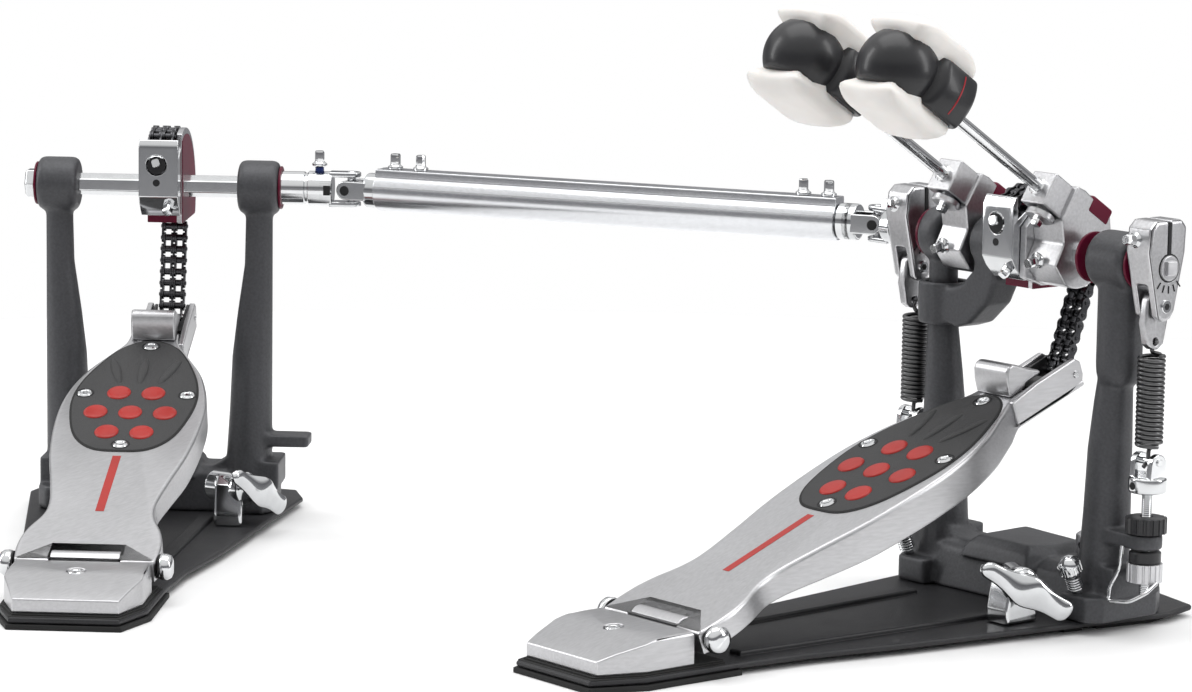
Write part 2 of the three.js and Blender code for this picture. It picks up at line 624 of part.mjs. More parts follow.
// A fork at the origin that opens towards +X; its pins lie along the given axis.
function fork(pinAxis, holeRadius) {
  const { inner, outer, tip, root } = EAR;
  const ear = (side) => {
    const low = Math.min(side * inner, side * outer);
    const shape = [...arc(0, 0, tip, -90, 90, 4), [-root, tip], [-root, -tip]];
    return plate(shape, low, low + outer - inner);
  };
  const cheeks = joined(ear(1), ear(-1), bar('x', 9.4, -root - 6, -root + 1.4, [0, 0], 14));
  const drilled = cut(cheeks, bar('z', holeRadius, -20, 20, [0, 0], 12));
  return pinAxis === 'z' ? drilled : turned(drilled, X, 90);
}

function jointCross(yaw) {
  const { inner, pin, outer } = EAR;
  const heart = block([-3.8, -3.8, -3.8], [3.8, 3.8, 3.8]);
  return turned(joined(
    heart,
    bar('z', pin, -outer, outer, [0, 0], 12),
    bar('y', pin, -inner + 1.4, inner - 1.4, [0, 0], 12),
  ), Z, yaw);
}

function leftYoke() {
  const hub = spun('x', [[0, 67.5], [8.4, 67.5], [9, 68.2], [9, 80.6], [8.2, 81], [8.2, 81.8], [9.4, 82.2], [9.4, 93],
    [0, 93]], [AXLE_Y, AXLE_Z], 14);
  const ears = moved(fork('z', EAR.pin + GAP), LEFT_JOINT_X, AXLE_Y, AXLE_Z);
  return cut(joined(hub, ears), bar('x', BORE, 60, 82, [AXLE_Y, AXLE_Z], 14));
}

function slaveShaft() {
  const ears = moved(turned(fork('z', EAR.pin + GAP), Z, 180), MAIN_JOINT_X, AXLE_Y, AXLE_Z);
  return joined(hexShaft(MAIN_JOINT_X + 13, OUTRIGGER_X + 6), ears);
}

const TUBE_FROM = 17;
const TUBE_SHORT = 21;
const TUBE_RADIUS = 10.4;

// The tube, drawn along +X from the left joint's centre, with a flat ridge on top and its left fork.
function driveTube(span) {
  const section = [...arc(0, 0, TUBE_RADIUS, 130, 410, 14), [6.5, 11.6], [-6.5, 11.6]].reverse();
  const tube = slab(section, TUBE_FROM, span - TUBE_SHORT, 0.4);
  const ears = turned(fork('y', EAR.pin + 0.2), Z, 180);
  return cut(joined(tube, ears), bar('x', 7.6, 60, span, [0, 0], 12));
}

function innerRod(span) {
  const sleeve = spun('x', [[0, span - TUBE_SHORT + 0.5], [9.4, span - TUBE_SHORT + 0.5], [9.4, span - 13], [0, span - 13]],
    [0, 0], 14);
  const stem = bar('x', 7.2, span - 110, span - TUBE_SHORT + 1, [0, 0], 12);
  const ears = moved(fork('y', EAR.pin + 0.2), span, 0, 0);
  return joined(sleeve, stem, ears);
}

// ---------------------------------------------------------------- assembly
function mainPedal() {
  const group = new THREE.Group();
  const posts = MAIN_POSTS;
  const spots = Object.values(SPUR_SPOTS);
  piece(group, 'main_base_plate', cut(basePlate(), ...spots.map(spurHole)), black);
  piece(group, 'main_rubber_mat', cut(rubberMat(), ...spots.map(spurHole)), rubber);
  piece(group, 'main_heel_plate', heelPlate(), silver);
  piece(group, 'main_hinge_pin', hingePin(), chrome);
  treadle(group, 'main_', MAIN_TILT);
  const lugs = [
    lugEar(posts.right, SPRING_X.main, LUG.main),
    lugEar(posts.left, SPRING_X.slave, LUG.slave),
  ];
  const spurs = spots.flatMap((spot) => [spurHole(spot), spurSeat(spot)]);
  piece(group, 'main_frame', castFrame(posts, [6.5, 12.5], lugs, spurs), castGrey);
  piece(group, 'main_shaft', hexShaft(OUTRIGGER_X + 6.5, 103), chrome);
  camSet(group, 'main_', MAIN_TILT);
  beaterSet(group, 'main_', 29.5, 10.5);
  springSet(group, 'main_', ROCKER_X.main, SPRING_X.main, LUG.main);
  piece(group, 'main_tension_nut', ringNut(SPRING_X.main, 52, 60.5, 10), black);
  piece(group, 'main_lock_nut', ringNut(SPRING_X.main, 28, 43.6, 8.4), silver);
  piece(group, 'main_clamp_block', clampBlock(), chrome);
  piece(group, 'main_wing_screw', wingScrew(), chrome);
  piece(group, 'main_left_spur', spur(SPUR_SPOTS.left), chrome);
  piece(group, 'main_right_spur', spur(SPUR_SPOTS.right), chrome);
  piece(group, 'hoop_height_knob', knurledKnob(), silver);
  piece(group, 'outrigger_arm', outriggerArm(), castGrey);
  piece(group, 'slave_shaft', slaveShaft(), chrome);
  beaterSet(group, 'slave_', -37, 9.5);
  springSet(group, 'slave_', ROCKER_X.slave, SPRING_X.slave, LUG.slave);
  return group;
}

function leftPedal() {
  const group = new THREE.Group();
  group.position.set(...LEFT_ORIGIN, 0);
  group.rotation.z = rad(LEFT_YAW);
  piece(group, 'left_base_plate', basePlate(), black);
  piece(group, 'left_rubber_mat', rubberMat(), rubber);
  piece(group, 'left_heel_plate', heelPlate(), silver);
  piece(group, 'left_hinge_pin', hingePin(), chrome);
  treadle(group, 'left_', LEFT_TILT);
  const hoopLug = cut(block([56, AXLE_Y - 9, 41], [84, AXLE_Y + 7, 48]), bar('z', 3.4, 30, 60, [76, AXLE_Y - 1], 14));
  piece(group, 'left_frame', castFrame(LEFT_POSTS, [11, 11], [hoopLug], []), castGrey);
  const endNut = spun('x', [[0, -71], [7.6, -71], [8.6, -70], [8.6, -65.4], [0, -65.4]], [AXLE_Y, AXLE_Z], 6);
  piece(group, 'left_shaft', joined(hexShaft(-68, 80), endNut), chrome);
  camSet(group, 'left_', LEFT_TILT);
  piece(group, 'left_yoke', leftYoke(), chrome);
  piece(group, 'left_clamp_block', clampBlock(), chrome);
  piece(group, 'left_wing_screw', wingScrew(), chrome);
  return group;
}

function driveShaft() {
  const yaw = rad(LEFT_YAW);
  const start = new THREE.Vector2(LEFT_JOINT_X, AXLE_Y).rotateAround(new THREE.Vector2(), yaw)
    .add(new THREE.Vector2(...LEFT_ORIGIN));
  const end = new THREE.Vector2(MAIN_JOINT_X, AXLE_Y);
  const span = start.distanceTo(end);
  const heading = THREE.MathUtils.radToDeg(end.clone().sub(start).angle());
  const group = new THREE.Group();
  const shaft = new THREE.Group();
  shaft.position.set(start.x, start.y, AXLE_Z);
  shaft.rotation.z = rad(heading);
  piece(shaft, 'drive_tube', driveTube(span), tubeAlu);
  piece(shaft, 'drive_inner_rod', innerRod(span), chrome);
  group.add(shaft);
  piece(group, 'left_joint_cross', moved(jointCross(heading), start.x, start.y, AXLE_Z), chrome);
  piece(group, 'right_joint_cross', moved(jointCross(heading), end.x, end.y, AXLE_Z), chrome);
  return group;
}

const pedal = new THREE.Group();
pedal.add(mainPedal(), leftPedal(), driveShaft());

export default pedal;
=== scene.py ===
"""A double bass drum pedal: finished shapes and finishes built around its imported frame.

Helpers work in millimetres in the frame of the part; pieces are made in metres.
"""
import json
import math

import bmesh
import bpy
from mathutils import Matrix, Vector


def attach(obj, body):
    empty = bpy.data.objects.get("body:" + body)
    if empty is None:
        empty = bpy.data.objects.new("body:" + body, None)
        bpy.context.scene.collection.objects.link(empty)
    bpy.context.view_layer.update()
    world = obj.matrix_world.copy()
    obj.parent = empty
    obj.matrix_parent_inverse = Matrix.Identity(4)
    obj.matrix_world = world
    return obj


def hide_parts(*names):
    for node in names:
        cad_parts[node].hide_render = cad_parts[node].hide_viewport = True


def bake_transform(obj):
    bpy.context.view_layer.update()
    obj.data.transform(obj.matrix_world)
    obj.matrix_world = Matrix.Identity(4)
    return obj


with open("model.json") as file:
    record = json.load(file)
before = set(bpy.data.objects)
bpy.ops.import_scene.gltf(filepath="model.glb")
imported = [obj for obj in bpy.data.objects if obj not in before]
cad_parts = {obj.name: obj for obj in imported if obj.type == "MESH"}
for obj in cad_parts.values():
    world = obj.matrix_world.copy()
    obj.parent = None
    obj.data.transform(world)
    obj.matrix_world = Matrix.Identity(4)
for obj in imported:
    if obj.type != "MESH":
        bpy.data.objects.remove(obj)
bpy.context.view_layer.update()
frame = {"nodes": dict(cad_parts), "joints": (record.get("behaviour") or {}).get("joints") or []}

bl_info = {
    "name": "Double bass drum pedal",
    "version": (1, 0, 0),
    "blender": (4, 5, 0),
    "location": "View3D > Sidebar > Drum Pedal",
    "description": "Builds a chain-driven double bass drum pedal piece by piece",
    "category": "Add Mesh",
}

# ---------------------------------------------------------------- places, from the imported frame
MM = 0.001
JOINTS = {joint["name"]: joint for joint in frame["joints"]}


def pivot(name):
    """A joint's pivot in millimetres."""
    return Vector(JOINTS[name]["pos_m"]) / MM


AXLE = pivot("main_beater_swing")
HINGE = pivot("main_treadle_swing")
LEFT_HINGE = pivot("left_treadle_swing")
LEFT_JOINT = pivot("drive_tube_turn")
RIGHT_JOINT = pivot("inner_rod_turn")
LEFT_AXIS = -Vector(JOINTS["left_treadle_swing"]["axis"])
SPAN = (RIGHT_JOINT - LEFT_JOINT).length
HEADING = math.atan2(RIGHT_JOINT.y - LEFT_JOINT.y, RIGHT_JOINT.x - LEFT_JOINT.x)
TILT = {"main": 21.4, "left": 18.8}

HERE = Matrix.Identity(4)
LEFT = Matrix.Translation((LEFT_HINGE.x, LEFT_HINGE.y, 0)) @ Matrix.Rotation(
    math.atan2(LEFT_AXIS.y, LEFT_AXIS.x), 4, "Z")
PEDAL = {"main": HERE, "left": LEFT}
ON_AXLE = Matrix.Translation((0, AXLE.y, AXLE.z))
SHAFT = Matrix.Translation(LEFT_JOINT) @ Matrix.Rotation(HEADING, 4, "Z")
ROD_LEAN = 57.0
LEANED = ON_AXLE @ Matrix.Rotation(math.radians(ROD_LEAN), 4, "X")
GROUND_BODY = {"main": "root", "left": "left_pedal"}
AXLE_BODY = {"main": "main_axle", "left": "left_axle"}

# Sizes shared with the frame, in millimetres.
HEX_FLATS = 10.4
CAM_X = 4.0
CAM_SHIFT = (6.0, -7.0)
CHAIN_RADIUS = 36.0
CHAIN_PIN_ALONG = 270.0
ROD_OFFSET = 17.6
HEAD_REACH = 140.0
ROD_BOLT = 25
BARREL = 14.5
MAIN_POSTS = (-55.5, 68.5)
LEFT_POSTS = (-53.0, 56.0)
ROCKER_X = {"main": 92.0, "slave": -77.0}
SPRING_X = {"main": 92.0, "slave": -73.3}
SPRING_Y = AXLE.y - 1.5
SPRING_Z = (94.0, 140.0)
SPRING_LUG = {"main": 48, "slave": 66}
LUG_HALF = 8.2
HUB = {"main": (29.5, 10.5), "slave": (-37.0, 9.5)}
CLAMP = Vector((50, 183, 25))
WING_SWING = -30.0
WING_TILT = -38.0
SPUR_LEAN = 24.0
SPUR_HEIGHT = 16
SPUR_SPOTS = {"left": (-58, 213), "right": (62, 213)}
TUBE_RADIUS = 10.4
LEFT_JOINT_X = 106.0
MAIN_JOINT_X = RIGHT_JOINT.x


def board_place(side):
    """The tilted frame of one footboard: X across, Y along it, Z up out of it."""
    lift = Matrix.Translation((0, 0, HINGE.z))
    return PEDAL[side] @ lift @ Matrix.Rotation(math.radians(TILT[side]), 4, "X")


# ---------------------------------------------------------------- user sizes and colours
def length(name, text, default):
    return bpy.props.FloatProperty(name=name, description=text, default=default, min=0.01, precision=3)


def count(name, text, default):
    return bpy.props.IntProperty(name=name, description=text, default=default, min=1)


def tint(name, text, default):
    return bpy.props.FloatVectorProperty(
        name=name, description=text, default=default, size=3, subtype="COLOR", min=0, max=1)


class PedalSizes(bpy.types.PropertyGroup):
    """Sizes that a user may change, in millimetres."""
    chain_pitch: length("Chain pitch", "Distance between chain pins in millimetres", 6.35)
    chain_plate: length("Chain plate", "Thickness of one chain side plate in millimetres", 0.9)
    coil_turns: count("Spring turns", "Number of turns in a return spring", 20)
    coil_wire: length("Spring wire", "Radius of the return spring's wire in millimetres", 1.06)
    coil_radius: length("Spring radius", "Radius of the return spring in millimetres", 5.9)
    grain: length("Casting grain", "Voxel size used to blend a casting in millimetres", 1.1)
    knurls: count("Knurls", "Number of ribs around a grip nut", 18)
    thread_pitch: length("Thread pitch", "Distance between thread crests in millimetres", 1.0)


class PedalColours(bpy.types.PropertyGroup):
    """Colours of the finishes."""
    casting: tint("Castings", "Powder coat on posts and barrels", (0.060, 0.061, 0.066))
    silver: tint("Silver", "Brushed footboards and machined castings", (0.47, 0.47, 0.48))
    chrome: tint("Chrome", "Polished hardware", (0.62, 0.63, 0.64))
    tube: tint("Drive tube", "Bright anodised tube", (0.70, 0.71, 0.73))
    black: tint("Black", "Plates and plastic parts", (0.017, 0.017, 0.019))
    pad: tint("Traction pad", "Dark grey grip sheet", (0.040, 0.040, 0.041))
    dot: tint("Dots", "Raised dots and centre line", (0.36, 0.013, 0.008))
    wine: tint("Wine", "Cam inserts and bearing rings", (0.105, 0.003, 0.020))
    felt: tint("Beater pads", "Pale striking pads", (0.80, 0.775, 0.745))


# ---------------------------------------------------------------- mesh tools, in millimetres
def along(axis, a, b, t):
    """A point at t on an axis and (a, b) on the other two, in X, Y, Z order."""
    return Vector({"x": (t, a, b), "y": (a, t, b), "z": (a, b, t)}[axis])


def skin(bm, loops, wrap=False):
    """Joins loops of points with quads, and closes the two ends unless the row wraps round."""
    rows = [[bm.verts.new(point) for point in loop] for loop in loops]
    size = len(rows[0])
    following = rows[1:] + ([rows[0]] if wrap else [])
    for near, far in zip(rows, following):
        for i in range(size):
            k = (i + 1) % size
            bm.faces.new((near[i], near[k], far[k], far[i]))
    if not wrap:
        bm.faces.new(rows[0][::-1])
        bm.faces.new(rows[-1])


def circle(radius, sides, start=0.0):
    turns = [start + math.tau * i / sides for i in range(sides)]
    return [(radius * math.cos(t), radius * math.sin(t)) for t in turns]


def lathe(bm, profile, axis="z", centre=(0, 0, 0), sides=40, wrap=False):
    """A profile of (radius, along) pairs turned about an axis."""
    middle = Vector(centre)
    loops = [[middle + along(axis, a, b, t) for a, b in circle(radius, sides)] for radius, t in profile]
    skin(bm, loops, wrap)


def drum(bm, radius, low, high, axis="z", centre=(0, 0, 0), sides=40, edge=0.4):
    """A round bar with eased ends."""
    lathe(bm, [(radius - edge, low), (radius, low + edge), (radius, high - edge), (radius - edge, high)],
          axis, centre, sides)


def prism(bm, outline, low, high, axis="z"):
    skin(bm, [[along(axis, a, b, t) for a, b in outline] for t in (low, high)])


def block(bm, low, high):
    outline = [(low[0], low[1]), (high[0], low[1]), (high[0], high[1]), (low[0], high[1])]
    prism(bm, outline, low[2], high[2])


def arc(cx, cy, radius, start, end, steps):
    angles = [math.radians(start + (end - start) * i / steps) for i in range(steps + 1)]
    return [(cx + radius * math.cos(t), cy + radius * math.sin(t)) for t in angles]


def mirrored(half):
    return half + [(-x, y) for x, y in reversed(half)]


def curve_point(p, t):
    """A point at t between the middle two of four points, on a smooth curve through them."""
    return tuple(0.5 * (
        2 * p[1] + (p[2] - p[0]) * t
        + (2 * p[0] - 5 * p[1] + 4 * p[2] - p[3]) * t * t
        + (3 * p[1] - p[0] - 3 * p[2] + p[3]) * t ** 3))


def smooth_loop(points, steps):
    """A closed smooth outline through a few points."""
    total = len(points)
    out = []
    for i in range(total):
        four = [Vector(points[(i + k - 1) % total]) for k in range(4)]
        out += [curve_point(four, s / steps) for s in range(steps)]
    return out


def smooth_half(points):
    """An open smooth outline through a few points, with both ends."""
    last, steps = len(points) - 1, 5
    out = []
    for i in range(last):
        four = [Vector(points[max(0, min(last, i + k - 1))]) for k in range(4)]
        out += [curve_point(four, s / steps) for s in range(steps)]
    return out + [points[-1]]


def clamp(t):
    return max(0.0, min(1.0, t))


def smooth_step(t):
    """Rises from 0 to 1 with level ends."""
    t = clamp(t)
    return t * t * (3 - 2 * t)


def oval(cx, cy, half_x, half_y, sides=32):
    return [(cx + half_x * a, cy + half_y * b) for a, b in circle(1, sides)]


def inset(outline, distance):
    """An anticlockwise outline moved inwards by a distance."""
    out = []
    for i, point in enumerate(outline):
        before, after = Vector(outline[i - 1]), Vector(outline[(i + 1) % len(outline)])
        run = (after - before).normalized()
        out.append((point[0] - run.y * distance, point[1] + run.x * distance))
    return out


def sweep(bm, points, radius, sides=10):
    """A round wire along a list of points."""
    spots = [Vector(p) for p in points]
    loops = []
    for i, spot in enumerate(spots):
        run = (spots[min(i + 1, len(spots) - 1)] - spots[max(i - 1, 0)]).normalized()
        turn = run.to_track_quat("Z", "Y")
        loops.append([spot + turn @ Vector((a, b, 0)) for a, b in circle(radius, sides)])
    skin(bm, loops)


def rounded_path(corners, radius):
    """A path with its corners rounded, for bent wire."""
    steps = 5
    spots = [Vector(c) for c in corners]
    out = [spots[0]]
    for before, spot, after in zip(spots, spots[1:], spots[2:]):
        a = spot + (before - spot).normalized() * radius
        b = spot + (after - spot).normalized() * radius
        for i in range(steps + 1):
            t = i / steps
            out.append(a.lerp(spot, t).lerp(spot.lerp(b, t), t))
    return out + [spots[-1]]


def from_frame(node):
    """A clean copy of a frame node's mesh in millimetres, with its flat faces whole."""
    bm = bmesh.new()
    bm.from_mesh(frame["nodes"][node].data)
    bm.transform(Matrix.Scale(1 / MM, 4))
    bmesh.ops.remove_doubles(bm, verts=bm.verts, dist=0.002)
    bmesh.ops.dissolve_limit(bm, angle_limit=math.radians(1.0), verts=bm.verts, edges=bm.edges)
    return bm


def settle(piece):
    """Turns a piece's modifiers into plain mesh."""
    graph = bpy.context.evaluated_depsgraph_get()
    mesh = bpy.data.meshes.new_from_object(piece.evaluated_get(graph), depsgraph=graph)
    old = piece.data
    piece.modifiers.clear()
    piece.data = mesh
    mesh.name = piece.name
    bpy.data.meshes.remove(old)


def ease_edges(piece, width):
    """Rounds the sharp edges of a piece."""
    bevel = piece.modifiers.new("Eased edges", "BEVEL")
    bevel.width = width * MM
    bevel.segments = 3
    bevel.limit_method = "ANGLE"
    bevel.angle_limit = math.radians(30)
    bevel.use_clamp_overlap = False
    bevel.miter_outer = "MITER_ARC"
    even_shading(piece)


def even_shading(piece):
    """Lets large flat faces decide the shading at their edges."""
    normals = piece.modifiers.new("Even shading", "WEIGHTED_NORMAL")
    normals.keep_sharp = True


def blend_casting(piece, grain, passes):
    """Melts overlapping solids into one casting with soft fillets."""
    remesh = piece.modifiers.new("One casting", "REMESH")
    remesh.mode = "VOXEL"
    remesh.voxel_size = grain * MM
    relax = piece.modifiers.new("Soft fillets", "SMOOTH")
    relax.factor = 0.5
    relax.iterations = passes
    settle(piece)


def make(name, bm, body, finish, place=HERE, stands_for=(), edge=0.0, sharp=35.0, cast=0.0, passes=6):
    """Makes one finished piece from a mesh drawn in millimetres in a local frame."""
    bmesh.ops.recalc_face_normals(bm, faces=bm.faces)
    bm.transform(Matrix.Scale(MM, 4) @ place)
    mesh = bpy.data.meshes.new(name)
    bm.to_mesh(mesh)
    bm.free()
    piece = bpy.data.objects.new(name, mesh)
    bpy.context.scene.collection.objects.link(piece)
    mesh.materials.append(finish)
    if cast:
        blend_casting(piece, cast, passes)
    piece.data.shade_smooth()
    if edge:
        ease_edges(piece, edge)
    elif not cast:
        piece.data.set_sharp_from_angle(angle=math.radians(sharp))
    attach(piece, body)
    if stands_for:
        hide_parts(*stands_for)
    return piece


def finish_node(node, body, finish, edge=0.0, cast=0.0, passes=6):
    """A frame node's own shape with softened edges and a finish."""
    make(f"{node}_look", from_frame(node), body, finish, stands_for=(node,), edge=edge, cast=cast,
         passes=passes)


# ---------------------------------------------------------------- geometry node trees
def repeat_tree():
    """Puts one item on every point, turned by the point's own 'turn' angles."""
    tree = bpy.data.node_groups.get("Repeat an item")
    if tree:
        return tree
    tree = bpy.data.node_groups.new("Repeat an item", "GeometryNodeTree")
    face = tree.interface
    face.new_socket("Points", in_out="INPUT", socket_type="NodeSocketGeometry")
    face.new_socket("Item", in_out="INPUT", socket_type="NodeSocketObject")
    face.new_socket("Finish", in_out="INPUT", socket_type="NodeSocketMaterial")
    face.new_socket("Pieces", in_out="OUTPUT", socket_type="NodeSocketGeometry")
    start = tree.nodes.new("NodeGroupInput")
    item = tree.nodes.new("GeometryNodeObjectInfo")
    item.label = "The item that repeats"
    turn = tree.nodes.new("GeometryNodeInputNamedAttribute")
    turn.label = "How each one is turned"
    turn.data_type = "FLOAT_VECTOR"
    turn.inputs["Name"].default_value = "turn"
    angles = tree.nodes.new("FunctionNodeEulerToRotation")
    angles.label = "Angles to a rotation"
    put = tree.nodes.new("GeometryNodeInstanceOnPoints")
    put.label = "One on every point"
    real = tree.nodes.new("GeometryNodeRealizeInstances")
    coat = tree.nodes.new("GeometryNodeSetMaterial")
    end = tree.nodes.new("NodeGroupOutput")
    for i, node in enumerate((start, item, turn, angles, put, real, coat, end)):
        node.location = (i * 200 - 700, 0)
    link = tree.links.new
    link(start.outputs["Points"], put.inputs["Points"])
    link(start.outputs["Item"], item.inputs["Object"])
    link(item.outputs["Geometry"], put.inputs["Instance"])
    link(turn.outputs["Attribute"], angles.inputs["Euler"])
    link(angles.outputs["Rotation"], put.inputs["Rotation"])
    link(put.outputs["Instances"], real.inputs["Geometry"])
    link(real.outputs["Geometry"], coat.inputs["Geometry"])
    link(start.outputs["Finish"], coat.inputs["Material"])
    link(coat.outputs["Geometry"], end.inputs["Pieces"])
    return tree


def coil_tree():
    """A round wire wound into a straight coil of given turns, radius and height."""
    tree = bpy.data.node_groups.get("Wound coil")
    if tree:
        return tree
    tree = bpy.data.node_groups.new("Wound coil", "GeometryNodeTree")
    face = tree.interface
    face.new_socket("Start", in_out="INPUT", socket_type="NodeSocketGeometry")
    for name in ("Turns", "Radius", "Height", "Wire"):
        face.new_socket(name, in_out="INPUT", socket_type="NodeSocketFloat")
    face.new_socket("Finish", in_out="INPUT", socket_type="NodeSocketMaterial")
    face.new_socket("Coil", in_out="OUTPUT", socket_type="NodeSocketGeometry")
    start = tree.nodes.new("NodeGroupInput")
    spiral = tree.nodes.new("GeometryNodeCurveSpiral")
    spiral.label = "Line of the coil"
    spiral.inputs["Resolution"].default_value = 20
    wire = tree.nodes.new("GeometryNodeCurvePrimitiveCircle")
    wire.label = "Section of the wire"
    wire.inputs["Resolution"].default_value = 10
    tube = tree.nodes.new("GeometryNodeCurveToMesh")
    tube.label = "Wire along the coil"
    tube.inputs["Fill Caps"].default_value = True
    real = tree.nodes.new("GeometryNodeRealizeInstances")
    coat = tree.nodes.new("GeometryNodeSetMaterial")
    end = tree.nodes.new("NodeGroupOutput")
    for i, node in enumerate((start, spiral, wire, tube, real, coat, end)):
        node.location = (i * 200 - 600, 0)
    link = tree.links.new
    link(start.outputs["Turns"], spiral.inputs["Rotations"])
    link(start.outputs["Radius"], spiral.inputs["Start Radius"])
    link(start.outputs["Radius"], spiral.inputs["End Radius"])
    link(start.outputs["Height"], spiral.inputs["Height"])
    link(start.outputs["Wire"], wire.inputs["Radius"])
    link(spiral.outputs["Curve"], tube.inputs["Curve"])
    link(wire.outputs["Curve"], tube.inputs["Profile Curve"])
    link(tube.outputs["Mesh"], real.inputs["Geometry"])
    link(real.outputs["Geometry"], coat.inputs["Geometry"])
    link(start.outputs["Finish"], coat.inputs["Material"])
    link(coat.outputs["Geometry"], end.inputs["Coil"])
    return tree


def set_inputs(modifier, values):
    """Sets a tree's inputs by the identifiers of their sockets."""
    for item in modifier.node_group.interface.items_tree:
        if item.item_type == "SOCKET" and item.in_out == "INPUT" and item.name in values:
            modifier[item.identifier] = values[item.name]


def repeat(name, item_bm, places, body, finish, sharp=35.0, stands_for=()):
    """One object with a copy of an item, drawn in millimetres, at each of a list of places."""
    bmesh.ops.recalc_face_normals(item_bm, faces=item_bm.faces)
    item_bm.transform(Matrix.Scale(MM, 4))
    item_mesh = bpy.data.meshes.new(name + "_item")
    item_bm.to_mesh(item_mesh)
    item_bm.free()
    item_mesh.shade_smooth()
    item_mesh.set_sharp_from_angle(angle=math.radians(sharp))
    item = bpy.data.objects.new(name + "_item", item_mesh)
    bpy.context.scene.collection.objects.link(item)
    mesh = bpy.data.meshes.new(name)
    mesh.from_pydata([place.translation * MM for place in places], [], [])
    turn = mesh.attributes.new("turn", "FLOAT_VECTOR", "POINT")
    for i, place in enumerate(places):
        turn.data[i].vector = place.to_euler("XYZ")
    piece = bpy.data.objects.new(name, mesh)
    bpy.context.scene.collection.objects.link(piece)
    modifier = piece.modifiers.new("Repeat", "NODES")
    modifier.node_group = repeat_tree()
    set_inputs(modifier, {"Item": item, "Finish": finish})
    settle(piece)
    bpy.data.objects.remove(item)
    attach(piece, body)
    if stands_for:
        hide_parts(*stands_for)
    return piece


def wind(name, turns, radius, height, wire, place, finish):
    """A coil object, in place but not yet riding on a body."""
    mesh = bpy.data.meshes.new(name)
    mesh.from_pydata([(0, 0, 0)], [], [])
    piece = bpy.data.objects.new(name, mesh)
    bpy.context.scene.collection.objects.link(piece)
    modifier = piece.modifiers.new("Coil", "NODES")
    modifier.node_group = coil_tree()
    set_inputs(modifier, {"Turns": float(turns), "Radius": radius * MM, "Height": height * MM,
                          "Wire": wire * MM, "Finish": finish})
    settle(piece)
    metres = place.copy()
    metres.translation = place.translation * MM
    piece.data.transform(metres)
    piece.data.shade_smooth()
    return piece


# ---------------------------------------------------------------- materials
def add_frame(nodes, label, members, colour=(0.2, 0.2, 0.2)):
    box = nodes.new("NodeFrame")
    box.label = label
    box.use_custom_color = True
    box.color = colour
    for member in members:
        member.parent = box


def new_material(name):
    """An empty node material with its output and main shader."""
    material = bpy.data.materials.new(name)
    material.use_nodes = True
    nodes = material.node_tree.nodes
    nodes.clear()
    output = nodes.new("ShaderNodeOutputMaterial")
    output.label = "Surface of the piece"
    output.location = (900, 0)
    shader = nodes.new("ShaderNodeBsdfPrincipled")
    shader.label = "Finish"
    shader.location = (600, 0)
    material.node_tree.links.new(shader.outputs["BSDF"], output.inputs["Surface"])
    return material, nodes, material.node_tree.links.new, shader


